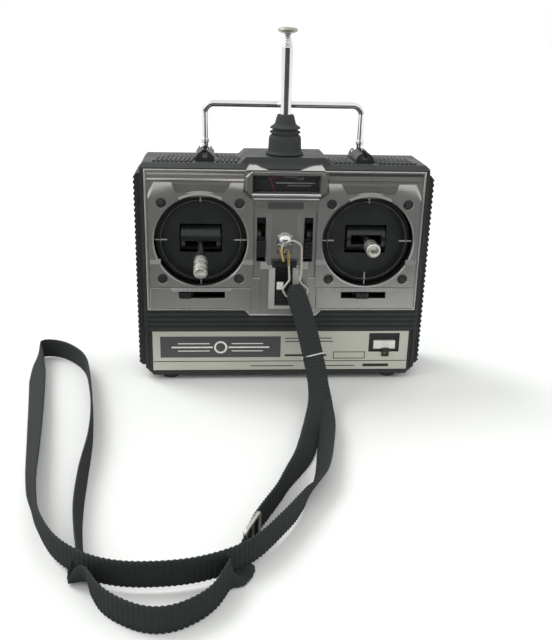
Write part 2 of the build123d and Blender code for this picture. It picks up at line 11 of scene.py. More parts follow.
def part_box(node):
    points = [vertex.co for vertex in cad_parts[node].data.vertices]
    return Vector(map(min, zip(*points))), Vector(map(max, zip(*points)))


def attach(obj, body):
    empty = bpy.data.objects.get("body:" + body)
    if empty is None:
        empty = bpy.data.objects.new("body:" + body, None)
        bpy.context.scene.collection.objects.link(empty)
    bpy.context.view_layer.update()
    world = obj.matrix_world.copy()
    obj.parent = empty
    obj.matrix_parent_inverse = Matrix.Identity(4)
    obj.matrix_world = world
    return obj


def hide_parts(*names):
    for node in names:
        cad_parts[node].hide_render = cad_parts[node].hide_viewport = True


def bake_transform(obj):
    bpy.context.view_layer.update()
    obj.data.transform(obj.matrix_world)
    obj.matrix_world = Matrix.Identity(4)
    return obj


bl_info = {
    "name": "Radio transmitter controller",
    "version": (1, 0, 0),
    "blender": (4, 5, 0),
    "location": "View3D > Sidebar > Controller",
    "description": "Builds the looks of a hand-held radio transmitter controller around its packed frame",
    "category": "Object",
}

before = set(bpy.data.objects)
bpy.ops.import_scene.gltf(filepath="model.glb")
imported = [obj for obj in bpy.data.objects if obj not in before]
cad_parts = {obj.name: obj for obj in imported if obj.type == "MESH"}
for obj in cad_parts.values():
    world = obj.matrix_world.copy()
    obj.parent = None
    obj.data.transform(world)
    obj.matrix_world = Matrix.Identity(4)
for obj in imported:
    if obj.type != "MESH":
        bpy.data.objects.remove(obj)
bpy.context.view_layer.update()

# Lengths are in millimetres until a mesh is made. Depth is measured back from the panel's outer face.
MM = 0.001
FACE = -14.0
STICK_X = 51.1
STICK_Z = 91.5
STICK_PIVOT = 14.0
OPENING_R = 28.15
SCREW_X = 23.3
SCREW_Z = 23.5
AERIAL_D = 20.0
AERIAL_TOPS = (204.5, 206.2, 207.5, 208.7, 209.8, 210.8)
AERIAL_R = 3.5
AERIAL_STEP = 0.4
AERIAL_WALL = 0.35
AERIAL_FOOT = 66.0
CASE_TOP = 138.0
STICK_LEAN = 28.0
NEEDLE_PIVOT = 104.3
DIAL_R = 25.6
HANDLE_X = 48.5
HANDLE_D = 35.0
HANDLE_PIVOT = 141.5
HANDLE_TOP = 169.5
HOOK_PIVOT = (0.0, FACE - 2.4, 92.6)
SIDES = ((-1, "left"), (1, "right"))

# The neck strap's route: each place as x, depth and height in metres, with the direction across the
# webbing there. It leaves the hook's lower bar as the back layer, goes round the long loop on edge,
# passes flat under the loop's own band twice, and comes back as the front layer.
ROUTE = (
    ((0.0064, -0.0066, 0.0665), (1, 0, 0)), ((0.0072, -0.0058, 0.0610), (1, 0, 0)),
    ((0.0088, -0.0085, 0.0560), (1, 0, 0)), ((0.0126, -0.0142, 0.0450), (1, 0, 0)),
    ((0.0170, -0.0254, 0.0267), (1, 0, 0)), ((0.0198, -0.0386, 0.0115), (1, 0, 0)),
    ((0.0206, -0.0560, 0.0045), (0.85, 0, 0.5)), ((0.0200, -0.0780, 0.0052), (0.72, 0, 0.69)),
    ((0.0168, -0.0960, 0.0052), (0.70, 0, 0.70)), ((0.0130, -0.1180, 0.0056), (0.62, 0, 0.78)),
    ((0.0096, -0.1300, 0.0058), (0.60, 0, 0.80)), ((0.0045, -0.1405, 0.0062), (0.50, 0, 0.86)),
    ((0.0005, -0.1480, 0.0070), (0.15, 0, 1)), ((-0.0055, -0.1600, 0.0076), (0, 0, 1)),
    ((-0.0140, -0.1735, 0.0082), (0, 0, 1)), ((-0.0240, -0.1880, 0.0086), (0, 0, 1)),
    ((-0.0360, -0.1975, 0.0086), (0, 0, 1)), ((-0.0560, -0.2045, 0.0086), (0, 0, 1)),
    ((-0.0860, -0.2040, 0.0086), (0, 0, 1)), ((-0.1080, -0.1890, 0.0086), (0, 0, 1)),
    ((-0.1210, -0.1650, 0.0076), (0, 0, 1)), ((-0.1268, -0.1450, 0.0063), (0.2, 0, 0.98)),
    ((-0.1306, -0.1326, 0.0061), (0.40, 0, 0.92)), ((-0.1346, -0.1113, 0.0057), (0.56, 0, 0.83)),
    ((-0.1429, -0.0629, 0.0050), (0.71, 0, 0.70)), ((-0.1540, -0.0031, 0.0042), (0.82, 0, 0.57)),
    ((-0.1590, 0.0230, 0.0054), (0.5, 0, 0.86)), ((-0.1600, 0.0390, 0.0068), (0, 0, 1)),
    ((-0.1450, 0.0360, 0.0068), (0, 0, 1)), ((-0.1325, 0.0225, 0.0068), (0, 0, 1)),
    ((-0.1250, 0.0080, 0.0068), (0, 0, 1)), ((-0.1208, -0.0100, 0.0068), (0, 0, 1)),
    ((-0.1150, -0.0400, 0.0068), (0, 0, 1)), ((-0.1105, -0.0700, 0.0066), (0, 0, 1)),
    ((-0.1082, -0.0950, 0.0066), (-0.05, 0, 1)), ((-0.1074, -0.1250, 0.0064), (-0.22, 0, 1)),
    ((-0.1050, -0.1560, 0.0064), (-0.25, 0, 1)), ((-0.1015, -0.1760, 0.0064), (-0.22, 0, 1)),
    ((-0.0985, -0.1895, 0.0058), (-0.2, 0, 1)), ((-0.0968, -0.1955, 0.0009), (-1, -0.4, 0)),
    ((-0.0963, -0.1970, 0.0009), (-1, -0.4, 0)), ((-0.0935, -0.2035, 0.0058), (-0.1, 0, 1)),
    ((-0.0850, -0.2190, 0.0064), (0, 0, 1)), ((-0.0640, -0.2310, 0.0064), (0, 0, 1)),
    ((-0.0440, -0.2200, 0.0064), (0, 0, 1)), ((-0.0362, -0.2020, 0.0058), (-0.1, 0, 1)),
    ((-0.0332, -0.1960, 0.0009), (-1, 0.5, 0)), ((-0.0324, -0.1945, 0.0009), (-1, 0.5, 0)),
    ((-0.0300, -0.1885, 0.0058), (-0.1, 0, 1)), ((-0.0268, -0.1740, 0.0064), (0, 0, 1)),
    ((-0.0215, -0.1620, 0.0064), (0, 0, 1)), ((-0.0126, -0.1450, 0.0064), (0, 0, 1)),
    ((-0.0069, -0.1305, 0.0062), (-0.12, 0, 1)), ((-0.0006, -0.1180, 0.0058), (-0.35, 0, 0.94)),
    ((0.0056, -0.1020, 0.0048), (-0.68, 0, 0.73)), ((0.0114, -0.0770, 0.0046), (-0.76, 0, 0.65)),
    ((0.0174, -0.0560, 0.0062), (-0.95, 0, 0.3)), ((0.0196, -0.0396, 0.0132), (-1, 0, 0)),
    ((0.0170, -0.0268, 0.0279), (-1, 0, 0)), ((0.0126, -0.0160, 0.0455), (-1, 0, 0)),
    ((0.0088, -0.0105, 0.0562), (-1, 0, 0)), ((0.0072, -0.0092, 0.0610), (-1, 0, 0)),
    ((0.0064, -0.0075, 0.0665), (-1, 0, 0)),
)


class ControllerSizes(bpy.types.PropertyGroup):
    """Sizes that a user may change."""

    plateau: FloatProperty(name="Raised panel", description="How far the stick panels stand out",
                           default=0.0008, min=0.0002, max=0.002, unit="LENGTH")
    rim: FloatProperty(name="Opening rim", description="Width of the chamfer round each stick opening",
                       default=0.0008, min=0.0002, max=0.002, unit="LENGTH")
    rib_height: FloatProperty(name="Grip rib height", description="Height of the ribs on the top",
                              default=0.0008, min=0.0002, max=0.002, unit="LENGTH")
    rib_pitch: FloatProperty(name="Grip rib pitch", description="Distance between the ribs on the top",
                             default=0.0027, min=0.001, max=0.006, unit="LENGTH")
    handle_radius: FloatProperty(name="Handle radius", description="Radius of the handle's rod",
                                 default=0.0022, min=0.001, max=0.004, unit="LENGTH")
    hook_radius: FloatProperty(name="Hook radius", description="Radius of the snap hook's wire",
                               default=0.0007, min=0.0003, max=0.002, unit="LENGTH")
    strap_width: FloatProperty(name="Strap width", description="Width of the webbing",
                               default=0.0127, min=0.005, max=0.03, unit="LENGTH")
    strap_thickness: FloatProperty(name="Strap thickness", description="Thickness of the webbing",
                                   default=0.0013, min=0.0005, max=0.003, unit="LENGTH")
    weave_pitch: FloatProperty(name="Weave pitch", description="Distance between the webbing's cross ribs",
                               default=0.0024, min=0.0005, max=0.004, unit="LENGTH")
    around: IntProperty(name="Round steps", description="Steps round a turned piece",
                        default=96, min=24, max=256)


class ControllerColours(bpy.types.PropertyGroup):
    """Colours that a user may change."""

    case: FloatVectorProperty(name="Case", description="Moulded case plastic", subtype="COLOR",
                              default=(0.015, 0.018, 0.0175), min=0, max=1)
    plate: FloatVectorProperty(name="Front plate", description="Satin metal of the front plate",
                               subtype="COLOR", default=(0.42, 0.42, 0.40), min=0, max=1)
    label: FloatVectorProperty(name="Label plate", description="Pale metal of the label plate",
                               subtype="COLOR", default=(0.56, 0.56, 0.49), min=0, max=1)
    chrome: FloatVectorProperty(name="Chrome", description="Plated rods and tubes", subtype="COLOR",
                                default=(0.80, 0.80, 0.80), min=0, max=1)
    webbing: FloatVectorProperty(name="Webbing", description="Neck strap", subtype="COLOR",
                                 default=(0.015, 0.017, 0.018), min=0, max=1)
    rubber: FloatVectorProperty(name="Rubber", description="Aerial boot and feet", subtype="COLOR",
                                default=(0.015, 0.021, 0.026), min=0, max=1)


def sizes():
    """The user's sizes in millimetres."""
    group = bpy.context.scene.controller_sizes
    return {name: getattr(group, name) / MM for name in group.bl_rna.properties.keys()
            if name not in ("rna_type", "name", "around")}


# The camera's place in metres, its pitch, yaw and roll in degrees, and its lens in millimetres
CAMERA_PLACE = (-0.041859, -0.484684, 0.217129)
CAMERA_TURNS = (20.485, 4.582, 1.509)
CAMERA_LENS = 44.90

# Finishes

ALONG_X = (0.02, 1, 1)
EVEN = (1, 1, 1)
NOISE_MIDDLE = (0.3, 0.7)


def colour(value, scale=1.0):
    """A colour's four shader values, made lighter or darker by the scale."""
    return tuple(min(1.0, part * scale) for part in tuple(value)[:3]) + (1.0,)


class Maker:
    """Adds procedural nodes to one material's Principled shader."""

    def __init__(self, name, sockets):
        self.material = bpy.data.materials.new(name)
        self.material.use_nodes = True
        self.tree = self.material.node_tree
        self.shader = self.tree.nodes["Principled BSDF"]
        self.normal = None
        for socket, value in sockets.items():
            self.shader.inputs[socket.replace("_", " ")].default_value = value

    def join(self, source, target):
        self.tree.links.new(source, target)

    def noise(self, scale, stretch=EVEN, detail=3.0, uv=False):
        """Noise on object coordinates in metres, or on the piece's own UV map."""
        place = self.tree.nodes.new("ShaderNodeTexCoord")
        mapping = self.tree.nodes.new("ShaderNodeMapping")
        mapping.inputs["Scale"].default_value = stretch
        texture = self.tree.nodes.new("ShaderNodeTexNoise")
        texture.inputs["Scale"].default_value = scale
        texture.inputs["Detail"].default_value = detail
        self.join(place.outputs["UV" if uv else "Object"], mapping.inputs["Vector"])
        self.join(mapping.outputs["Vector"], texture.inputs["Vector"])
        return texture.outputs["Fac"]

    def range(self, factor, low, high):
        """The factor's middle half spread from the low value to the high one."""
        node = self.tree.nodes.new("ShaderNodeMapRange")
        node.inputs["From Min"].default_value, node.inputs["From Max"].default_value = NOISE_MIDDLE
        node.inputs["To Min"].default_value = low
        node.inputs["To Max"].default_value = high
        self.join(factor, node.inputs["Value"])
        return node.outputs["Result"]

    def ramp(self, factor, low, high):
        """The factor's middle half spread from one colour to the other."""
        node = self.tree.nodes.new("ShaderNodeValToRGB")
        for element, place, value in zip(node.color_ramp.elements, NOISE_MIDDLE, (low, high)):
            element.position = place
            element.color = value
        self.join(factor, node.inputs["Fac"])
        return node.outputs["Color"]

    def soften(self, radius):
        """Rounds edges in shading only."""
        node = self.tree.nodes.new("ShaderNodeBevel")
        node.samples = 4
        node.inputs["Radius"].default_value = radius
        self.normal = node.outputs["Normal"]
        self.join(self.normal, self.shader.inputs["Normal"])

    def bump(self, height, distance, strength=1.0):
        node = self.tree.nodes.new("ShaderNodeBump")
        node.inputs["Strength"].default_value = strength
        node.inputs["Distance"].default_value = distance
        self.join(height, node.inputs["Height"])
        if self.normal:
            self.join(self.normal, node.inputs["Normal"])
        self.normal = node.outputs["Normal"]
        self.join(self.normal, self.shader.inputs["Normal"])


def build_finish(name, tint=None, gloss=None, relief=(), soft=None, uv=False, **sockets):
    """A finish from its colour and gloss variation, each (scale, stretch, low, high), and its relief
    layers, each (scale, stretch, height)."""
    maker = Maker(name, sockets)
    if tint:
        scale, stretch, low, high = tint
        tone = maker.ramp(maker.noise(scale, stretch, uv=uv), low, high)
        maker.join(tone, maker.shader.inputs["Base Color"])
    if gloss:
        scale, stretch, low, high = gloss
        rough = maker.range(maker.noise(scale, stretch, uv=uv), low, high)
        maker.join(rough, maker.shader.inputs["Roughness"])
    if soft:
        maker.soften(soft)
    for scale, stretch, height in relief:
        maker.bump(maker.noise(scale, stretch, uv=uv), height)
    return maker.material


def finish_table():
    """Every finish's settings by name."""
    paint = bpy.context.scene.controller_colours
    case, plate, label, chrome = paint.case, paint.plate, paint.label, paint.chrome
    return {
        "case_plastic": dict(
            tint=(45, EVEN, colour(case, 0.85), colour(case, 1.25)), gloss=(70, EVEN, 0.42, 0.58),
            relief=((2400, EVEN, 0.00005),), soft=0.0005),
        "grip_rubber": dict(
            tint=(60, EVEN, colour(case, 0.6), colour(case, 1.0)), gloss=(90, EVEN, 0.5, 0.68),
            relief=((1800, EVEN, 0.00008),), soft=0.0004),
        "plate_satin": dict(
            tint=(14, (1, 1, 0.5), colour(plate, 0.92), colour(plate, 1.08)), gloss=(22, EVEN, 0.24, 0.32),
            relief=((900, ALONG_X, 0.00001),), Metallic=0.85),
        # Painted reflection: dark and pale beige streaks along x stand in for the room mirrored in the left top
        # band.
        "plate_streaked": dict(
            tint=(620, (0.02, 1, 1), (0.07, 0.07, 0.07, 1), (0.95, 0.88, 0.80, 1)),
            gloss=(60, ALONG_X, 0.15, 0.35), relief=((500, (0.04, 1, 1), 0.00006),), Metallic=0.9),
        # Painted dark reflection: a much darker copy of the plate colour for the right top band, standing in for
        # the dark room it mirrors.
        "plate_shaded": dict(
            tint=(420, (0.02, 1, 1), colour(plate, 0.10), colour(plate, 0.22)), gloss=(60, ALONG_X, 0.3, 0.45),
            relief=((500, (0.04, 1, 1), 0.00003),), Metallic=0.7),
        "bezel_grey": dict(
            tint=(30, EVEN, colour(plate, 0.55), colour(plate, 0.7)), gloss=(40, EVEN, 0.28, 0.4),
            relief=((900, ALONG_X, 0.00001),), Metallic=0.8),
        # Painted shade: a darker copy of the plate colour for the notches over the openings and the channel lines,
        # standing in for shade in recesses.
        "plate_recess": dict(
            tint=(30, EVEN, colour(plate, 0.4), colour(plate, 0.5)), gloss=(40, EVEN, 0.35, 0.45),
            relief=((900, ALONG_X, 0.00001),), Metallic=0.7),
        # Painted highlight: a lighter copy of the plate colour for the rim round the plate and the upward slopes
        # over the meter, standing in for the light they catch.
        "plate_bright": dict(
            tint=(60, EVEN, colour(plate, 1.15), colour(plate, 1.4)), gloss=(60, EVEN, 0.22, 0.35),
            relief=((700, ALONG_X, 0.00001),), Metallic=0.75),
        "label_satin": dict(
            tint=(12, (1, 1, 0.4), colour(label, 0.93), colour(label, 1.06)), gloss=(30, EVEN, 0.34, 0.46),
            relief=((1100, ALONG_X, 0.00001),), Metallic=0.6),
        "ink_black": dict(
            tint=(90, EVEN, (0.006, 0.008, 0.008, 1), (0.012, 0.015, 0.015, 1)), gloss=(50, EVEN, 0.4, 0.55)),
        "badge_black": dict(
            tint=(40, EVEN, (0.014, 0.017, 0.017, 1), (0.022, 0.025, 0.025, 1)), gloss=(40, EVEN, 0.3, 0.42),
            relief=((1500, EVEN, 0.00001),)),
        "gloss_black": dict(
            tint=(50, EVEN, (0.006, 0.008, 0.008, 1), (0.012, 0.015, 0.015, 1)), gloss=(50, EVEN, 0.22, 0.36),
            relief=((1200, EVEN, 0.000015),), soft=0.0004),
        "screw_black": dict(
            tint=(200, EVEN, (0.012, 0.013, 0.013, 1), (0.03, 0.03, 0.03, 1)), gloss=(200, EVEN, 0.25, 0.4),
            relief=((900, EVEN, 0.00003),), Metallic=0.3),
        # Painted highlight: a grey lighter than the black screws, used for the screws' crosses and the thin line
        # round each stick ring.
        "screw_worn": dict(
            tint=(200, EVEN, (0.05, 0.05, 0.05, 1), (0.10, 0.10, 0.10, 1)), gloss=(200, EVEN, 0.3, 0.45),
            Metallic=0.5),
        "chrome": dict(
            tint=(30, EVEN, colour(chrome, 0.94), colour(chrome, 1.04)), gloss=(120, EVEN, 0.05, 0.13),
            relief=((900, EVEN, 0.000003),), Metallic=1.0),
        "turned_metal": dict(
            tint=(300, EVEN, (0.50, 0.49, 0.44, 1), (0.66, 0.65, 0.60, 1)), gloss=(300, EVEN, 0.22, 0.40),
            relief=((1500, EVEN, 0.00003),), Metallic=1.0),
        "tip_metal": dict(
            tint=(200, EVEN, (0.26, 0.26, 0.22, 1), (0.40, 0.40, 0.35, 1)), gloss=(200, EVEN, 0.4, 0.6),
            relief=((1200, EVEN, 0.00003),), Metallic=0.8),
        "nickel_wire": dict(
            tint=(110, EVEN, (0.62, 0.60, 0.54, 1), (0.70, 0.62, 0.45, 1)), gloss=(200, EVEN, 0.14, 0.3),
            relief=((900, EVEN, 0.00001),), Metallic=1.0),
        "worn_brass": dict(
            tint=(260, EVEN, (0.50, 0.33, 0.10, 1), (0.68, 0.50, 0.24, 1)), gloss=(200, EVEN, 0.2, 0.4),
            relief=((900, EVEN, 0.00001),), Metallic=1.0),
        "window_glass": dict(
            tint=(60, EVEN, (0.04, 0.045, 0.045, 1), (0.06, 0.065, 0.065, 1)), gloss=(70, EVEN, 0.03, 0.07),
            Alpha=0.18),
        "ring_gloss": dict(
            tint=(60, EVEN, (0.010, 0.012, 0.013, 1), (0.020, 0.023, 0.024, 1)), gloss=(70, EVEN, 0.05, 0.12),
            Alpha=0.75),
        "dial_black": dict(
            tint=(60, EVEN, (0.008, 0.008, 0.009, 1), (0.014, 0.014, 0.016, 1)), gloss=(60, EVEN, 0.4, 0.55)),
        "print_white": dict(
            tint=(200, EVEN, (0.62, 0.62, 0.58, 1), (0.74, 0.74, 0.70, 1)), gloss=(90, EVEN, 0.4, 0.55)),
        "print_red": dict(
            tint=(200, EVEN, (0.30, 0.02, 0.02, 1), (0.42, 0.04, 0.03, 1)), gloss=(90, EVEN, 0.4, 0.55)),
        "print_grey": dict(
            tint=(200, EVEN, (0.16, 0.16, 0.15, 1), (0.22, 0.22, 0.21, 1)), gloss=(90, EVEN, 0.4, 0.55)),
        "frame_pale": dict(
            tint=(60, EVEN, (0.30, 0.30, 0.28, 1), (0.36, 0.36, 0.34, 1)), gloss=(60, EVEN, 0.4, 0.5),
            relief=((1300, EVEN, 0.00001),), soft=0.0003),
        "soft_rubber": dict(
            tint=(60, EVEN, colour(paint.rubber, 0.8), colour(paint.rubber, 1.2)), gloss=(80, EVEN, 0.46, 0.62),
            relief=((1700, EVEN, 0.00003),)),
        "webbing": dict(
            tint=(900, (1, 1, 1), colour(paint.webbing, 0.55), colour(paint.webbing, 1.6)),
            gloss=(300, EVEN, 0.45, 0.62), relief=((2600, (1, 6, 1), 0.00010),), uv=True, Sheen_Weight=0.15,
            Sheen_Roughness=0.4),
        "keeper_cord": dict(
            tint=(300, EVEN, (0.55, 0.54, 0.48, 1), (0.72, 0.71, 0.65, 1)), gloss=(90, EVEN, 0.4, 0.6),
            relief=((2000, EVEN, 0.00004),)),
        "cell_wrap": dict(
            tint=(40, EVEN, (0.02, 0.10, 0.16, 1), (0.03, 0.14, 0.20, 1)), gloss=(60, EVEN, 0.3, 0.4)),
        "circuit_board": dict(
            tint=(300, EVEN, (0.10, 0.16, 0.05, 1), (0.16, 0.24, 0.08, 1)), gloss=(60, EVEN, 0.35, 0.5)),
    }


def finish(name):
    """The finish of that name, built the first time it is asked for."""
    return bpy.data.materials.get(name) or build_finish(name, **finish_table()[name])


def coat(name, *nodes):
    """Puts a finish on carried-over frame pieces."""
    for node in nodes:
        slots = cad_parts[node].material_slots
        if slots:
            for slot in slots:
                slot.material = finish(name)
        else:
            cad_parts[node].data.materials.append(finish(name))


# Shapes

def make(name, points, faces, look, body="root", slot=None, sharp=35.0, uv=None):
    """A piece from an array of points in millimetres (x, y, z) and its faces. Doubles are merged and
    the faces turned outwards."""
    mesh = bpy.data.meshes.new(name)
    mesh.from_pydata((np.asarray(points, float) * MM).tolist(), [], [list(map(int, f)) for f in faces])
    if uv is not None:
        corner = np.zeros(len(mesh.loops), int)
        mesh.loops.foreach_get("vertex_index", corner)
        mesh.uv_layers.new(name="UVMap").data.foreach_set("uv", uv[corner].ravel())
    work = bmesh.new()
    work.from_mesh(mesh)
    bmesh.ops.remove_doubles(work, verts=work.verts, dist=2e-6)
    bmesh.ops.recalc_face_normals(work, faces=work.faces)
    work.to_mesh(mesh)
    work.free()
    mesh.shade_smooth()
    mesh.set_sharp_from_angle(angle=radians(sharp))
    mesh.materials.append(finish(look))
    piece = bpy.data.objects.new(name, mesh)
    bpy.context.scene.collection.objects.link(piece)
    if body:
        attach(piece, body)
    return piece


def grid(rows, columns, wrap_rows=False, wrap_columns=True, start=0):
    """Quads that join each point of a grid to its neighbours. A wrapped side joins back to its start."""
    i, j = np.meshgrid(np.arange(rows - (not wrap_rows)), np.arange(columns - (not wrap_columns)),
                       indexing="ij")
    i2, j2 = (i + 1) % rows, (j + 1) % columns
    quads = np.stack([i * columns + j, i * columns + j2, i2 * columns + j2, i2 * columns + j], -1)
    return quads.reshape(-1, 4) + start


def prism_faces(count):
    """The faces between two like rings of points and over both ends."""
    return grid(2, count).tolist() + [list(range(count)), list(range(count, 2 * count))]


class Parts:
    """Gathers several closed shapes into one piece."""

    def __init__(self):
        self.points, self.faces, self.count = [], [], 0

    def add(self, points, faces):
        self.points.append(np.asarray(points, float))
        self.faces += [[int(k) + self.count for k in face] for face in faces]
        self.count += len(points)
        return self

    def make(self, name, look, **options):
        return make(name, np.concatenate(self.points), self.faces, look, **options)


def loop_circle(x, z, radius, steps=96):
    """A circle: (x + r cos t, z + r sin t)."""
    t = np.arange(steps) * 2 * pi / steps
    return np.stack([x + radius * np.cos(t), z + radius * np.sin(t)], 1)


def loop_box(x0, x1, z0, z1):
    return np.array([(x0, z0), (x1, z0), (x1, z1), (x0, z1)], float)


def loop_strip(x, z, angle, start, end, half):
    """A straight strip from one distance to another along an angle, starting from x, z."""
    along = np.array((cos(angle), sin(angle)))
    wide = np.array((-along[1], along[0]))
    return np.array([along * start - wide * half, along * end - wide * half,
                     along * end + wide * half, along * start + wide * half]) + (x, z)


def inset(loop, amount):
    """An anticlockwise loop with each edge moved inwards by its own amount. A corner goes where its two
    moved edges cross: n1.p = a1 and n2.p = a2."""
    loop = np.asarray(loop, float)
    amount = np.broadcast_to(np.asarray(amount, float), len(loop))
    run = np.roll(loop, -1, 0) - loop
    normal = np.stack([-run[:, 1], run[:, 0]], 1) / np.linalg.norm(run, axis=1)[:, None]
    last, before = np.roll(normal, 1, 0), np.roll(amount, 1)
    det = last[:, 0] * normal[:, 1] - last[:, 1] * normal[:, 0]
    straight = np.abs(det) < 1e-4
    det = np.where(straight, 1.0, det)
    move = np.stack([(before * normal[:, 1] - last[:, 1] * amount) / det,
                     (last[:, 0] * amount - normal[:, 0] * before) / det], 1)
    return loop + np.where(straight[:, None], normal * amount[:, None], move)


def panel_shape(outer, levels, holes=(), hole_levels=None):
    """A flat panel with openings. Each loop is carried through its levels of (depth, inset), front
    first, and the first and last rings are filled between the outline and the openings. The openings
    have the outline's levels or a list of their own."""
    points, faces, fronts, backs = [], [], [], []
    count = 0
    plans = [levels, *(hole_levels or [levels] * len(holes))]
    for index, (loop, steps) in enumerate(zip([outer, *holes], plans)):
        sign = 1 if index == 0 else -1
        rings = []
        for depth, amount in steps:
            ring = inset(loop, np.asarray(amount) * sign)
            rings.append(np.stack([ring[:, 0], np.full(len(ring), FACE + depth), ring[:, 1]], 1))
        size = len(loop)
        points += rings
        faces += grid(len(rings), size, start=count).tolist()
        fronts.append((rings[0], count))
        backs.append((rings[-1], count + (len(rings) - 1) * size))
        count += len(rings) * size
    for group in (fronts, backs):
        numbers = np.concatenate([np.arange(len(ring)) + start for ring, start in group])
        flat = [[Vector((p[0], p[2], 0)) for p in ring] for ring, _ in group]
        faces += [[numbers[k] for k in triangle] for triangle in tessellate_polygon(flat)]
    return np.concatenate(points), faces


def panel(name, look, outer, levels, holes=(), hole_levels=None, **options):
    return make(name, *panel_shape(outer, levels, holes, hole_levels), look, **options)


def slab_shape(x0, x1, d0, d1, z0, z1, edge=0.1):
    """A block whose front edges are cut back by the edge width."""
    return panel_shape(loop_box(x0, x1, z0, z1), ((d0, edge), (d0 + edge, 0), (d1, 0)))


def facet_shape(corners, back):
    """A solid on a flat outline of x, z, depth corners, whose front follows the depths."""
    corners = np.asarray(corners, float)
    count = len(corners)
    front = np.stack([corners[:, 0], FACE + corners[:, 2], corners[:, 1]], 1)
    rear = front.copy()
    rear[:, 1] = FACE + back
    return np.concatenate([front, rear]), prism_faces(count)


def bar_shape(profile, x0, x1):
    """A closed profile of depth, z points carried straight from one x to another, with flat ends."""
    profile = np.asarray(profile, float)
    count = len(profile)
    ends = [np.stack([np.full(count, x), FACE + profile[:, 0], profile[:, 1]], 1) for x in (x0, x1)]
    return np.concatenate(ends), prism_faces(count)


def axes_for(axis):
    """Two directions square to an axis and to each other."""
    axis = np.asarray(axis, float) / np.linalg.norm(axis)
    aside = np.array((1.0, 0.0, 0.0)) if abs(axis[0]) < 0.9 else np.array((0.0, 0.0, 1.0))
    u = np.cross(axis, aside)
    u /= np.linalg.norm(u)
    return axis, u, np.cross(axis, u)


def turned_shape(profile, origin, axis, around=None, ripple=None, sweep=(0.0, 360.0)):
    """A profile of radius and distance carried round an axis: p = o + s a + r (cos t u + sin t v).
    The ripple is added to the radius at each distance and angle."""
    around = around or bpy.context.scene.controller_sizes.around
    profile = np.asarray(profile, float)
    axis, u, v = axes_for(axis)
    full = abs(sweep[1] - sweep[0]) > 359.9
    t = np.radians(np.linspace(sweep[0], sweep[1], around, endpoint=not full))
    radius = np.broadcast_to(profile[:, :1], (len(profile), around)).copy()
    if ripple is not None:
        radius += ripple(profile[:, 1:2], t[None, :])
    points = (np.asarray(origin, float) + profile[:, 1, None, None] * axis
              + radius[..., None] * (np.cos(t)[:, None] * u + np.sin(t)[:, None] * v))
    faces = grid(len(profile), around, wrap_columns=full).tolist()
    return points.reshape(-1, 3), faces


def turned(name, look, profile, origin, axis=(0, 0, 1), around=None, ripple=None, **options):
    return make(name, *turned_shape(profile, origin, axis, around, ripple), look, **options)


def smooth_profile(corners, steps=6):
    """A profile drawn through its corners with each corner rounded by a quadratic curve between the
    middles of its two runs."""
    corners = np.asarray(corners, float)
    middles = (corners[1:] + corners[:-1]) / 2
    t = np.linspace(0, 1, steps)[:, None]
    arcs = [(1 - t) ** 2 * a + 2 * t * (1 - t) * b + t ** 2 * c
            for a, b, c in zip(middles[:-1], corners[1:-1], middles[1:])]
    return np.concatenate([corners[:1], *arcs, corners[-1:]])


def rounded_line(points, radii, steps=10):
    """Straight runs joined by arcs, each of its own radius."""
    points = np.asarray(points, float)
    out = [points[:1]]
    for a, b, c, radius in zip(points[:-2], points[1:-1], points[2:], radii):
        back, on = (a - b) / np.linalg.norm(a - b), (c - b) / np.linalg.norm(c - b)
        half = np.arccos(np.clip(back @ on, -1, 1)) / 2
        centre = b + (back + on) / np.linalg.norm(back + on) * radius / sin(half)
        start, end = b + back * radius / np.tan(half) - centre, b + on * radius / np.tan(half) - centre
        turn = pi - 2 * half
        t = np.linspace(0, 1, steps)[:, None]
        out.append(centre + (np.sin((1 - t) * turn) * start + np.sin(t * turn) * end) / sin(turn))
    return np.concatenate([*out, points[-1:]])


def resample(line, step):
    """The line with points an even step apart."""
    run = np.r_[0, np.cumsum(np.linalg.norm(np.diff(line, axis=0), axis=1))]
    places = np.linspace(0, run[-1], max(2, int(run[-1] / step)))
    return np.stack([np.interp(places, run, line[:, k]) for k in range(3)], 1), places


def wire_shape(line, radius, aside, sides=16, closed=False):
    """A round section carried along a line: p = c + r (cos t n + sin t b). Open ends are capped."""
    line = np.asarray(line, float)
    if closed:
        tangent = np.roll(line, -1, 0) - np.roll(line, 1, 0)
    else:
        tangent = np.gradient(line, axis=0)
        line, tangent = line[[0, *range(len(line)), -1]], tangent[[0, *range(len(tangent)), -1]]
    radius = np.broadcast_to(np.asarray(radius, float), len(line)).copy()
    if not closed:
        radius[[0, -1]] = 0
    tangent /= np.linalg.norm(tangent, axis=1)[:, None]
    b = np.cross(tangent, aside)
    b /= np.linalg.norm(b, axis=1)[:, None]
    n = np.cross(b, tangent)
    t = np.arange(sides) * 2 * pi / sides
    spread = np.cos(t)[:, None] * n[:, None] + np.sin(t)[:, None] * b[:, None]
    points = line[:, None] + radius[:, None, None] * spread
    return points.reshape(-1, 3), grid(len(line), sides, wrap_rows=closed).tolist()


def tilt(points, pivot, degrees):
    """Points turned about a level left-to-right axis."""
    c, s = cos(radians(degrees)), sin(radians(degrees))
    p = np.asarray(points, float) - pivot
    return np.stack([p[:, 0], p[:, 1] * c - p[:, 2] * s, p[:, 1] * s + p[:, 2] * c], 1) + pivot


# Operators, one for each piece or group of like pieces

class ControllerOperator(bpy.types.Operator):
    """Shared settings of the controller's operators."""

    bl_options = {"REGISTER", "UNDO"}

    def execute(self, context):
        self.build(sizes())
        return {"FINISHED"}


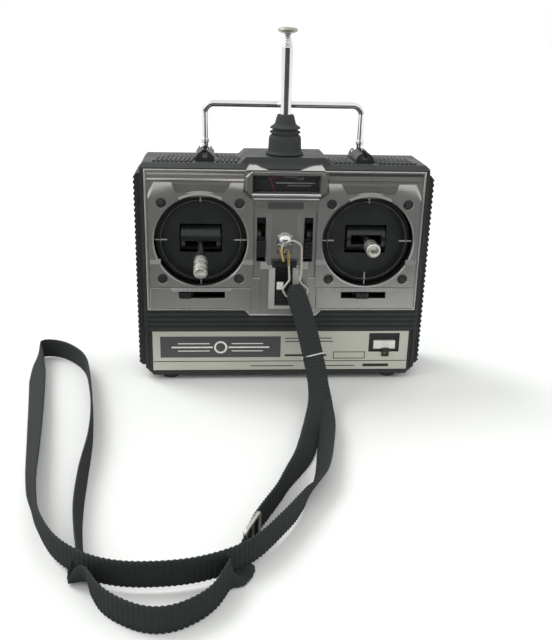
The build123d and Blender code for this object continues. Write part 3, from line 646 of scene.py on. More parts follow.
class CONTROLLER_OT_case(ControllerOperator):
    """Case shells, side grips and feet with their moulded finish"""

    bl_idname = "controller.case"
    bl_label = "Case"

    def build(self, size):
        coat("case_plastic", "front_case", "rear_case", "battery_door", "handle_sockets")
        coat("grip_rubber", "left_side_grip", "right_side_grip")
        coat("soft_rubber", "rubber_feet")
        coat("screw_black", "case_screws")
        # The stick pots among these are coated gloss black as painted shade, so that they sink into the dark of
        # the wells.
        coat("gloss_black", "battery_holder", "antenna_socket", "stick_pots", "meter_body", "crystal_socket",
             "power_switch_body")
        coat("cell_wrap", "battery_cells")
        coat("circuit_board", "main_board")
        # Painted shade: the steel centring springs are coated gloss black so that they sink into the shade of the
        # wells.
        coat("gloss_black", "centring_springs")


class CONTROLLER_OT_top_ribs(ControllerOperator):
    """Chevron ribs on the top of the case, pointing away from the middle"""

    bl_idname = "controller.top_ribs"
    bl_label = "Top ribs"

    def build(self, size):
        ribs = Parts()
        pitch, height = size["rib_pitch"], size["rib_height"]
        starts = [30.2 + pitch * i for i in range(5)] + [57.0 + pitch * i for i in range(9)]
        section = np.array([(-0.85, -0.3), (-0.75, 0.6), (-0.3, 1.0), (0.3, 1.0), (0.75, 0.6), (0.85, -0.3)])
        for side in (-1, 1):
            for start in starts:
                for line in ([(start, 7.5), (start - 1.9, 21.6)], [(start - 1.9, 22.8), (start, 36.8)]):
                    line = np.array(line)
                    x = side * line[:, None, 0] + section[None, :, 0]
                    y = np.broadcast_to(FACE + line[:, None, 1], x.shape)
                    z = np.broadcast_to(CASE_TOP + section[None, :, 1] * height, x.shape)
                    points = np.stack([x, y, z], -1).reshape(-1, 3)
                    ribs.add(points, prism_faces(len(section)))
        ribs.make("top_ribs", "case_plastic", slot="black_case")


def unit_outline(side, corners):
    """Corners given for the left panel as x, z, mirrored for the right one and kept anticlockwise."""
    corners = np.asarray(corners, float)
    return corners if side < 0 else (corners * (-1, 1))[::-1]


class CONTROLLER_OT_front_plate(ControllerOperator):
    """Moulded front plate: base, rim, raised stick panels, sloped facets and bands"""

    bl_idname = "controller.front_plate"
    bl_label = "Front plate"

    def build(self, size):
        outline = [(-84.2, 47.2), (-24.2, 47.2), (-21.0, 43.6), (21.0, 43.6), (24.2, 47.2), (84.2, 47.2),
                   (84.2, 135.0), (-84.2, 135.0)]
        holes = [loop_circle(side * STICK_X, STICK_Z, OPENING_R) for side in (-1, 1)]
        holes += [loop_box(-21.5, 21.5, 121.0, 133.5), loop_box(-5.2, 5.2, 51.0, 75.0)]
        holes += [loop_box(x - 2.7, x + 2.7, 79.0, 106.5) for x in (-14.4, 14.4)]
        holes += [loop_box(x - 14.1, x + 14.1, 55.3, 59.5) for x in (-50.4, 50.4)]
        base = panel("plate_base", "plate_satin", outline, ((0.45, 0.05), (0.5, 0), (1.0, 0)), holes,
                     slot="brushed_panel")
        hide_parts("face_plate")
        # The rim is painted lighter than the plate as a painted highlight.
        panel("plate_rim", "plate_bright", outline, ((-0.35, 0.35), (0.0, 0), (1.0, 0)),
              [inset(outline, 1.1)], [((-0.35, 0.25), (-0.05, 0), (1.0, 0))], slot="brushed_panel")
        self.stick_panels(size["plateau"], size["rim"])
        self.bands()
        self.facets()
        self.middle()

    def stick_panels(self, high, rim):
        """The raised panel round each opening, with a wide slope along its top and a notch over the
        opening, and the plain panel below it."""
        upper = [(-82.3, 62.4), (-19.2, 62.4), (-19.2, 117.0), (-25.4, 121.5), (-25.4, 127.3), (-33.0, 127.3),
                 (-37.0, 121.3), (-65.2, 121.3), (-68.2, 127.3), (-78.4, 127.3), (-82.3, 120.0)]
        slopes = (0.3, 0.3, 0.3, 0.3, 3.6, 0.3, 0.3, 0.3, 3.6, 1.6, 0.4)
        lower = [(-82.3, 48.6), (-24.6, 48.6), (-20.6, 48.6), (-20.6, 62.0), (-82.3, 62.0)]
        for side, word in SIDES:
            outer = unit_outline(side, upper)
            amounts = np.array(slopes) if side < 0 else np.roll(np.array(slopes)[::-1], -1)
            holes = [loop_circle(side * STICK_X, STICK_Z, OPENING_R)]
            holes += [loop_circle(side * STICK_X + dx, STICK_Z + dz, 3.05, 40) for dx in (-SCREW_X, SCREW_X)
                      for dz in (-SCREW_Z, SCREW_Z)]
            openings = [((-high, rim), (-high + rim, 0), (0.6, 0))]
            openings += [((-high, 0.2), (-high + 0.2, 0), (0.6, 0))] * 4
            panel(f"{word}_stick_panel", "plate_satin", outer, ((-high, amounts), (0.4, 0), (0.6, 0)), holes,
                  openings, slot="brushed_panel")
            slot_hole = [loop_box(side * 50.4 - 14.1, side * 50.4 + 14.1, 55.3, 59.5)]
            panel(f"{word}_lower_panel", "plate_satin", unit_outline(side, lower),
                  ((-high + 0.1, 0.25), (-high + 0.35, 0), (0.6, 0)), slot_hole, slot="brushed_panel")
            x = side * STICK_X
            notch = [(x - 17.4, 126.2), (x - 13.2, 118.6), (x + 13.2, 118.6), (x + 17.4, 126.2)]
            profile = [(28.2, -0.5), (28.2, 1.2), (28.7, 1.4), (30.9, 0.3), (30.9, -0.5)]
            rows, steps = len(profile), 40
            points, faces = turned_shape(profile, (x, FACE, STICK_Z), (0, -1, 0), sweep=(-26.0, 26.0),
                                         around=steps)
            ends = [[k * steps + last for k in range(rows)] for last in (0, steps - 1)]
            closing = grid(2, steps, wrap_columns=False)
            closing = np.where(closing < steps, closing, closing + (rows - 2) * steps).tolist()
            make(f"{word}_arch", points, faces + ends + closing, "bezel_grey", slot="brushed_panel")
            # The notch is painted darker than the panel as painted shade in the recess.
            panel(f"{word}_notch", "plate_recess", np.array(notch), ((0.2, 0.1), (0.3, 0), (0.5, 0)),
                  slot="brushed_panel")

    def bands(self):
        """The coved bands along the top: the depth follows a shallow sine hollow between their edges."""
        z = np.linspace(128.0, 133.4, 24)
        hollow = 0.35 - 0.75 * np.cos((z - 128.0) / 5.4 * 2 * pi) * 0.5
        profile = np.r_[np.stack([hollow, z], 1), [(0.9, 133.4), (0.9, 128.0)]]
        # The left band's streaks are a painted reflection of the room.
        make("left_top_band", *bar_shape(profile, -82.5, -25.2), "plate_streaked", slot="brushed_panel")
        # The right band's darkness is a painted dark reflection.
        make("right_top_band", *bar_shape(profile, 25.2, 82.5), "plate_shaded", slot="brushed_panel")
        lines = Parts()
        lines.add(*slab_shape(25.4, 82.3, -0.15, 0.6, 129.1, 129.6, 0.1))
        lines.add(*slab_shape(25.4, 82.3, -0.15, 0.6, 128.0, 128.7, 0.1))
        lines.make("right_band_lines", "bezel_grey", slot="brushed_panel")
        gap = bar_shape([(0.1, 134.95), (0.1, 135.7), (0.9, 135.7), (0.9, 134.95)], -84.0, 84.0)
        make("top_gap", *gap, "ink_black", slot="trim_black")

    def facets(self):
        """Small slopes that face upwards: steps beside the openings, ends of the trim channels and the
        ledges over the level trims."""
        parts = Parts()
        for side in (-1, 1):
            for x0, x1 in ((-81.9, -75.3), (-25.3, -19.3)):
                corners = [(side * x0, 77.4, -1.7), (side * x1, 77.4, -1.7), (side * x1, 80.6, -0.7),
                           (side * x0, 80.6, -0.7)]
                parts.add(*facet_shape(corners, 0.3))
            corners = [(side * -14.8, 74.6, -1.6), (side * -8.1, 74.6, -1.6), (side * -11.4, 79.0, 0.0),
                       (side * -14.8, 79.0, 0.0)]
            parts.add(*facet_shape(corners, 0.5))
            x = side * 50.9
            parts.add(*facet_shape([(x - 18.0, 60.1, -1.5), (x + 18.0, 60.1, -1.5), (x + 19.4, 62.3, -0.6),
                                    (x - 19.4, 62.3, -0.6)], 0.4))
        parts.make("plate_facets", "bezel_grey", slot="brushed_panel")
        ticks = Parts()
        for side in (-1, 1):
            for i in range(11):
                x = side * 50.9 - 14.0 + 2.8 * i
                ticks.add(*facet_shape([(x - 0.2, 60.3, -1.47), (x + 0.2, 60.3, -1.47), (x + 0.2, 61.9, -0.82),
                                        (x - 0.2, 61.9, -0.82)], 0.4))
        ticks.make("level_ticks", "print_grey", slot="brushed_panel")

    def middle(self):
        """The scale strips beside the upright trims, the strip under the meter and the centre field."""
        strips, ticks, blocks, lines = Parts(), Parts(), Parts(), Parts()
        for side in (-1, 1):
            x0, x1 = sorted((side * 7.9, side * 11.5))
            strips.add(*slab_shape(x0, x1, 0.05, 0.6, 75.2, 109.2, 0.15))
            for i in range(17):
                z = 81.0 + 1.6 * i
                ticks.add(*slab_shape(x0 + 0.5, x1 - 0.5, 0.02, 0.3, z - 0.16, z + 0.16, 0.01))
            x0, x1 = sorted((side * 10.8, side * 17.8))
            for i in range(4):
                z = 111.9 + 0.96 * i
                blocks.add(*slab_shape(x0, x1, -0.5, 0.6, z, z + 0.8, 0.18))
            x0, x1 = sorted((side * 18.6, side * 19.0))
            lines.add(*slab_shape(x0, x1, 0.3, 0.6, 62.4, 110.5, 0.02))
            x0, x1 = sorted((side * 14.7, side * 20.5))
            strips.add(*slab_shape(x0, x1, -0.3, 0.6, 48.6, 68.4, 0.25))
        strips.make("scale_strips", "plate_satin", slot="brushed_panel")
        ticks.make("scale_ticks", "print_grey", slot="brushed_panel")
        blocks.make("hatched_blocks", "plate_satin", slot="brushed_panel")
        # The channel lines are painted darker as painted shade in the channels.
        lines.make("channel_lines", "plate_recess", slot="brushed_panel")
        panel("meter_strip", "badge_black", loop_box(-10.6, 10.6, 111.9, 115.7),
              ((-0.4, 0.15), (-0.25, 0), (0.6, 0)), slot="badge_black")
        panel("switch_hood", "gloss_black", loop_box(-7.6, 7.6, 75.4, 80.7), ((-1.8, 0.7), (-1.1, 0), (0.6, 0)),
              slot="trim_black")


class CONTROLLER_OT_label_plate(ControllerOperator):
    """Label plate, dark name badge and plain printed lines"""

    bl_idname = "controller.label_plate"
    bl_label = "Label plate"

    def build(self, size):
        plate = panel("label_sheet", "label_satin", loop_box(-81.9, 81.9, 6.4, 33.2),
                      ((0.0, 0.25), (0.25, 0), (1.0, 0)), [loop_box(56.3, 76.0, 18.6, 31.5)],
                      slot="label_aluminium")
        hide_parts("label_plate")
        badge = panel("badge_sheet", "badge_black", loop_box(-77.0, -0.8, 15.4, 29.6),
                      ((-0.4, 0.15), (-0.25, 0), (0.0, 0)), slot="badge_black")
        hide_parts("name_badge")
        marks = Parts()
        for x0, x1, z0, z1 in ((-70.0, -44.0, 21.9, 22.9), (-34.0, -8.0, 21.9, 22.9), (-66.0, -46.0, 24.6, 25.2),
                               (-32.0, -12.0, 24.6, 25.2), (-66.0, -46.0, 19.6, 20.2), (-32.0, -12.0, 19.6, 20.2)):
            marks.add(*slab_shape(x0, x1, -0.46, -0.3, z0, z1, 0.02))
        marks.add(*panel_shape(loop_circle(-39.0, 22.4, 4.2, 64), ((-0.46, 0), (-0.3, 0)),
                               [loop_circle(-39.0, 22.4, 3.0, 64)]))
        marks.make("badge_marks", "print_white", slot="label_aluminium")
        ink = Parts()
        for x0, x1, z0, z1 in ((-81.6, 81.6, 12.3, 12.8), (2.0, 32.0, 28.0, 28.6), (2.0, 33.0, 25.8, 26.4),
                               (2.0, 14.0, 15.8, 17.2), (22.0, 29.0, 15.8, 17.2), (-20.0, 8.0, 8.9, 9.5),
                               (20.0, 48.0, 8.9, 9.5), (53.0, 70.0, 8.4, 10.4)):
            ink.add(*slab_shape(x0, x1, -0.04, 0.2, z0, z1, 0.01))
        ink.add(*panel_shape(loop_box(33.3, 54.1, 14.1, 18.9), ((-0.04, 0), (0.2, 0)),
                             [loop_box(33.8, 53.6, 14.6, 18.4)]))
        ink.make("label_print", "ink_black", slot="badge_black")


class CONTROLLER_OT_meter(ControllerOperator):
    """Meter bezel, window, dial marks and needle"""

    bl_idname = "controller.meter"
    bl_label = "Meter"

    def build(self, size):
        right = [(21.0, 118.7), (25.0, 122.7), (25.0, 131.7), (21.5, 135.1)]
        outline = np.array(right + [(-x, z) for x, z in reversed(right)])
        slopes = np.array((1.4, 1.4, 1.4, 1.0, 1.4, 1.4, 1.4, 1.0))
        bezel = panel("bezel", "bezel_grey", outline, ((-3.0, slopes), (-0.8, 0), (0.5, 0)),
                      [loop_box(-19.8, 19.8, 122.4, 131.9)], [((-3.0, 0.7), (-1.6, 0.0), (0.8, 0))],
                      slot="brushed_panel")
        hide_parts("meter_bezel")
        wedges = Parts()
        wedges.add(*facet_shape([(-24.3, 135.2, -1.6), (-10.6, 135.2, -1.6), (-15.4, 136.5, -0.6),
                                 (-17.6, 137.7, 0.3), (-22.1, 138.0, 0.5)], 4.5))
        wedges.add(*facet_shape([(7.7, 135.2, -1.6), (23.0, 135.2, -1.6), (21.0, 138.1, 0.5),
                                 (15.4, 137.6, 0.3)], 4.5))
        # The wedges are painted lighter than the plate as a painted highlight on their upward slopes.
        wedges.make("meter_wedges", "plate_bright", slot="brushed_panel")
        t = np.linspace(0, 2 * pi, 20, endpoint=False)
        rods = Parts()
        for z, radius, half in ((120.9, 0.75, 20.4), (118.4, 0.4, 19.5)):
            profile = np.stack([-2.7 + radius * np.sin(t), z + radius * np.cos(t)], 1)
            rods.add(*bar_shape(profile, -half, half))
        rods.make("bezel_rods", "chrome", slot="chrome_plate")
        coat("window_glass", "meter_window")
        coat("dial_black", "meter_dial")
        coat("print_red", "meter_needle")
        white, red = Parts(), Parts()
        for i in range(21):
            angle = radians(112 - 2.2 * i)
            long = 2.4 if i % 5 == 0 else 1.5
            corners = loop_strip(0, NEEDLE_PIVOT, angle, DIAL_R, DIAL_R + long, 0.12)
            (red if i < 9 else white).add(*panel_shape(corners, ((4.84, 0), (4.95, 0))))
        white.add(*slab_shape(-6.0, 17.5, 4.84, 4.95, 126.4, 126.9, 0.01))
        white.add(*slab_shape(1.0, 15.5, 4.84, 4.95, 124.9, 125.2, 0.01))
        white.make("dial_white", "print_white", slot="dial_print")
        red.make("dial_red", "print_red", slot="needle_red")


class CONTROLLER_OT_screws(ControllerOperator):
    """Black cross-head screws round the stick openings"""

    bl_idname = "controller.screws"
    bl_label = "Screws"

    def build(self, size):
        heads, slots = Parts(), Parts()
        profile = smooth_profile([(0, 1.0), (1.4, 1.0), (2.7, 0.7), (2.95, 0.0), (2.95, -0.6), (0, -0.6)])
        for side in (-1, 1):
            for dx in (-SCREW_X, SCREW_X):
                for dz in (-SCREW_Z, SCREW_Z):
                    x, z = side * STICK_X + dx, STICK_Z + dz
                    heads.add(*turned_shape(profile, (x, FACE, z), (0, -1, 0), around=40))
                    turn = radians(25 + 40 * ((dx > 0) + 2 * (dz > 0)))
                    for extra in (0, pi / 2):
                        corners = loop_strip(x, z, turn + extra, -1.7, 1.7, 0.35)
                        slots.add(*panel_shape(corners, ((-1.02, 0), (-0.8, 0))))
        screws = heads.make("panel_screws", "screw_black", slot="black_screw")
        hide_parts("gimbal_screws")
        # The crosses are painted lighter than the heads, as a painted highlight on their edges.
        slots.make("screw_cross_painted_highlight", "screw_worn", slot="black_screw")


class CONTROLLER_OT_sticks(ControllerOperator):
    """Stick units: clear rings with their marks, gimbals, tapered sticks and knurled heads"""

    bl_idname = "controller.sticks"
    bl_label = "Sticks"

    def build(self, size):
        for side, word in SIDES:
            centre = np.array((side * STICK_X, FACE, STICK_Z))
            coat("gloss_black", f"{word}_gimbal_housing", f"{word}_gimbal_cradle", f"{word}_gimbal_bail")
            ring = smooth_profile([(24.3, -3.9), (25.1, -3.9), (25.1, -5.5), (23.6, -5.5), (23.6, -3.9),
                                   (24.3, -3.9)])
            clear = turned(f"{word}_ring", "ring_gloss", ring, centre, (0, -1, 0), slot="clear_plastic")
            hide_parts(f"{word}_gimbal_ring")
            marks = Parts()
            for turn in (0, 90, 180, 270):
                for r0, r1, half in ((23.6 if turn == 90 else 20.4, 28.1, 0.32), (24.0, 24.7, 0.9)):
                    corners = loop_strip(centre[0], centre[2], radians(turn), r0, r1, half)
                    marks.add(*panel_shape(corners, ((3.8, 0.1), (3.9, 0), (5.0, 0))))
            marks.make(f"{word}_ring_marks", "frame_pale", slot="clear_plastic")
            # Painted highlight: a thin lighter grey ring on the clear ring's face stands in for the light on its
            # edge.
            panel(f"{word}_ring_painted_highlight", "screw_worn", loop_circle(centre[0], STICK_Z, 24.8),
                  ((3.7, 0.0), (3.9, 0)), [loop_circle(centre[0], STICK_Z, 24.3)], slot="clear_plastic")
            # Painted shade: a flat black sheet across each well, with a window for the cradle, hides the parts
            # behind it so that the well reads as dark as its shade.
            window = loop_box(centre[0] - 12.8, centre[0] + 12.8, STICK_Z - 8.9, STICK_Z + 8.9)
            panel(f"{word}_well_shade_sheet", "ink_black", loop_circle(centre[0], STICK_Z, 27.7),
                  ((8.4, 0.1), (8.5, 0), (9.2, 0)), [window], slot="trim_black")
            pivot = centre + (0, STICK_PIVOT, 0)
            lean = STICK_LEAN if side < 0 else 0.0
            profile = [(0, -15.5), (1.5, -15.5), (1.5, 0.0), (3.3, 0.5), (3.3, 3.0), (1.7, 6.0), (1.8, 10.0),
                       (2.2, 14.0), (3.35, 21.0), (3.55, 21.8), (3.2, 22.1), (2.0, 22.2), (2.0, 31.0), (0, 31.0)]
            points, faces = turned_shape(profile, pivot, (0, -1, 0), around=48)
            stick = make(f"{word}_stick_rod", tilt(points, pivot, lean), faces, "turned_metal",
                         body=f"{word}_stick", slot="turned_aluminium")
            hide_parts(f"{word}_stick")
            stations = np.linspace(22.0, 33.2, 90)
            grooves = np.minimum.reduce([np.clip(np.abs(stations - s) / 0.45, 0, 1) for s in (25.4, 29.6)])
            radius = 3.75 + 0.5 * grooves ** 0.5
            side_wall = np.stack([radius, stations], 1)
            tip = [(3.9, 33.75), (3.0, 34.0), (2.6, 33.7), (0, 33.5)]
            head = np.concatenate([[(0, 21.9), (3.4, 21.9)], side_wall, tip])

            def knurl(along, around):
                """Crossed ridges, r + k |sin(n t + c s)| |sin(n t - c s)|, on the head's wall only."""
                wall = (along > 22.0) & (along < 33.2)
                ridge = np.abs(np.sin(14 * around + 3.2 * along)) * np.abs(np.sin(14 * around - 3.2 * along))
                return np.where(wall, 0.16 * ridge - 0.1, 0.0)

            points, faces = turned_shape(head, pivot, (0, -1, 0), around=168, ripple=knurl)
            knob = make(f"{word}_stick_knob", tilt(points, pivot, lean), faces, "turned_metal",
                        body=f"{word}_stick", slot="turned_aluminium", sharp=50)
            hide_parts(f"{word}_stick_head")


class CONTROLLER_OT_controls(ControllerOperator):
    """Trim levers, power switch and crystal holder"""

    bl_idname = "controller.controls"
    bl_label = "Trims, switch and crystal"

    def build(self, size):
        coat("gloss_black", "left_upright_trim", "right_upright_trim", "left_level_trim", "right_level_trim",
             "power_switch_slider", "crystal_holder")
        coat("frame_pale", "power_switch_frame")
        panel("switch_mark", "print_white", loop_box(-4.3, -0.3, 61.3, 66.2),
              ((-0.95, 0.05), (-0.9, 0), (-0.7, 0)), body="power_slider", slot="white_plastic")
        panel("crystal_label", "print_white", loop_box(59.3, 73.4, 20.9, 26.2),
              ((-0.1, 0.1), (0.0, 0), (2.1, 0)), body="crystal", slot="white_plastic")


class CONTROLLER_OT_aerial(ControllerOperator):
    """Telescopic aerial sections, tip button and ribbed rubber boot"""

    bl_idname = "controller.aerial"
    bl_label = "Aerial"

    def build(self, size):
        origin = (0, FACE + AERIAL_D, 0)
        for i, top in enumerate(AERIAL_TOPS):
            outer = AERIAL_R - AERIAL_STEP * i
            inner = outer - AERIAL_WALL if i < len(AERIAL_TOPS) - 1 else 0.0
            foot = AERIAL_FOOT + i
            wall = [(inner, foot), (outer, foot), (outer, top - 1.3), (outer - 0.02, top - 1.0),
                    (outer - 0.22, top - 0.75), (outer - 0.05, top - 0.45), (outer - 0.2, top - 0.1),
                    (max(inner, outer - 0.33), top)]
            wall.append((inner, foot) if inner else (0, top))
            piece = turned(f"aerial_section_{i + 1}", "chrome", wall, origin,
                           body="root" if i == 0 else f"aerial_{i + 1}", slot="chrome_plate")
            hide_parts(f"antenna_tube_{i + 1}")
        tip = smooth_profile([(0, 209.9), (1.9, 209.9), (1.9, 210.9), (3.4, 211.1), (5.2, 211.8), (5.95, 212.7),
                              (5.7, 213.5), (4.2, 214.2), (1.6, 214.5), (0, 214.5)])
        button = turned("aerial_button", "tip_metal", tip, origin, body="aerial_6", slot="tip_metal")
        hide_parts("antenna_tip")
        outside = [(3.52, 141.6), (11.5, 141.6), (11.5, 142.5), (10.7, 143.2), (10.1, 143.8), (9.9, 148.0),
                   (9.75, 151.8), (9.1, 152.9), (8.2, 153.3), (8.2, 154.0), (9.3, 154.4), (9.35, 154.9),
                   (9.0, 155.4), (7.6, 155.8), (7.6, 156.6), (9.2, 157.1), (9.3, 157.6), (8.6, 158.2), (6.9, 159.2), (6.35, 160.0),
                   (5.7, 162.6), (5.05, 164.9), (4.5, 165.3), (3.52, 165.35), (3.52, 141.6)]
        boot = turned("aerial_boot", "soft_rubber", smooth_profile(outside, 5), origin, slot="soft_rubber")
        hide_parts("antenna_boot")


class CONTROLLER_OT_handle(ControllerOperator):
    """Carry handle rod with its ferrules and cross pins"""

    bl_idname = "controller.handle"
    bl_label = "Carry handle"

    def build(self, size):
        y = FACE + HANDLE_D
        corners = [(-HANDLE_X, y, HANDLE_PIVOT), (-HANDLE_X, y, HANDLE_TOP), (HANDLE_X, y, HANDLE_TOP),
                   (HANDLE_X, y, HANDLE_PIVOT)]
        parts = Parts()
        parts.add(*wire_shape(rounded_line(corners, (5.5, 5.5), 20), size["handle_radius"], (0, 1, 0), 32))
        ferrule = [(0, 4.2), (2.3, 4.2), (2.9, 4.6), (2.9, 5.3), (2.5, 5.6), (2.9, 5.9), (2.9, 6.8),
                   (2.4, 7.2), (0, 7.2)]
        for x in (-HANDLE_X, HANDLE_X):
            parts.add(*turned_shape(ferrule, (x, y, HANDLE_PIVOT), (0, 0, 1), around=40))
            parts.add(*turned_shape([(0, -4.9), (1.0, -4.9), (1.0, -2.0), (2.0, -2.0), (2.0, 2.0), (1.0, 2.0),
                                     (1.0, 4.9), (0, 4.9)], (x, y, HANDLE_PIVOT), (1, 0, 0), around=32))
        rod = parts.make("handle_rod", "chrome", body="handle", slot="chrome_plate")
        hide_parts("carry_handle")


class CONTROLLER_OT_hook(ControllerOperator):
    """Strap eyelet on the panel and the wire snap hook"""

    bl_idname = "controller.hook"
    bl_label = "Eyelet and hook"

    def build(self, size):
        dome = [(4.7 * sin(a), 4.7 * cos(a)) for a in np.linspace(0, pi / 2, 20)]
        eyelet = Parts()
        points, faces = turned_shape(dome + [(4.7, -0.4), (0, -0.4)], (0, FACE, 93.4), (0, -1, 0), around=64)
        points[:, 2] = np.where(points[:, 2] < 92.4, 92.4 + (points[:, 2] - 92.4) * 0.12,
                                92.4 + (points[:, 2] - 92.4) * 0.88)
        eyelet.add(points, faces)
        eyelet.add(*panel_shape(loop_box(-4.7, 4.7, 84.6, 95.6), ((-0.9, 0.35), (-0.5, 0), (0.2, 0))))
        eyelet.add(*slab_shape(-4.7, 4.7, -1.3, -0.7, 87.0, 90.4, 0.2))
        eyelet.add(*slab_shape(-0.7, 0.7, -5.0, -4.2, 84.7, 90.6, 0.1))
        eyelet.add(*slab_shape(-0.7, 0.7, -5.0, 0.0, 84.7, 85.8, 0.1))
        done = eyelet.make("eyelet", "chrome", slot="chrome_plate")
        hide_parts("strap_eyelet")
        outline = [(-1.0, 80.4), (-2.4, 86.6), (-1.2, 91.2), (4.2, 93.5), (10.2, 90.4), (10.2, 73.0), (9.0, 67.4),
                   (15.0, 62.6), (12.2, 58.8), (1.4, 58.6), (-1.4, 62.8), (3.0, 68.6), (2.0, 86.0)]
        radii = (2.5, 3.0, 4.5, 4.5, 6.0, 4.0, 1.8, 2.0, 2.0, 2.0, 1.8)
        depths = [-1.6, -0.8] + [0.0] * 11
        points = [(x, HOOK_PIVOT[1] + d, z) for (x, z), d in zip(outline, depths)]
        line = tilt(rounded_line(points, radii, 8), HOOK_PIVOT, -8.0)
        line, places = resample(line, 0.5)
        steel, brass = Parts(), Parts()
        worn = int(np.searchsorted(places, 9.0))
        steel.add(*wire_shape(line[worn:], size["hook_radius"], (0, 1, 0), 20))
        brass.add(*wire_shape(line[:worn + 1], size["hook_radius"] * 1.05, (0, 1, 0), 20))
        tail = int(np.searchsorted(places, places[-1] - 9.0))
        brass.add(*wire_shape(line[tail:], size["hook_radius"] * 1.12, (0, 1, 0), 20))
        hook = steel.make("hook_wire", "nickel_wire", body="snap_hook", slot="nickel_wire")
        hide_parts("snap_hook")
        brass.make("hook_nose", "worn_brass", body="snap_hook", slot="nickel_wire")


def spline_line(points):
    """The points of a smooth line: a NURBS spline of order 3 with these control points, in metres."""
    curve = bpy.data.curves.new("strap_route", "CURVE")
    curve.dimensions = "3D"
    curve.resolution_u = 24
    spline = curve.splines.new("NURBS")
    spline.points.add(len(points) - 1)
    spline.points.foreach_set("co", np.c_[points, np.ones(len(points))].ravel())
    spline.order_u = 3
    spline.use_endpoint_u = True
    route = bpy.data.objects.new("strap_route", curve)
    mesh = bpy.data.meshes.new_from_object(route)
    line = np.zeros(len(mesh.vertices) * 3)
    mesh.vertices.foreach_get("co", line)
    bpy.data.objects.remove(route)
    bpy.data.meshes.remove(mesh)
    return line.reshape(-1, 3)


def smoothed(values, window):
    """Each column averaged over a sliding window, with the ends held."""
    padded = np.pad(values, ((window, window), (0, 0)), mode="edge")
    kernel = np.ones(2 * window + 1) / (2 * window + 1)
    return np.stack([np.convolve(padded[:, k], kernel, mode="valid") for k in range(values.shape[1])], 1)


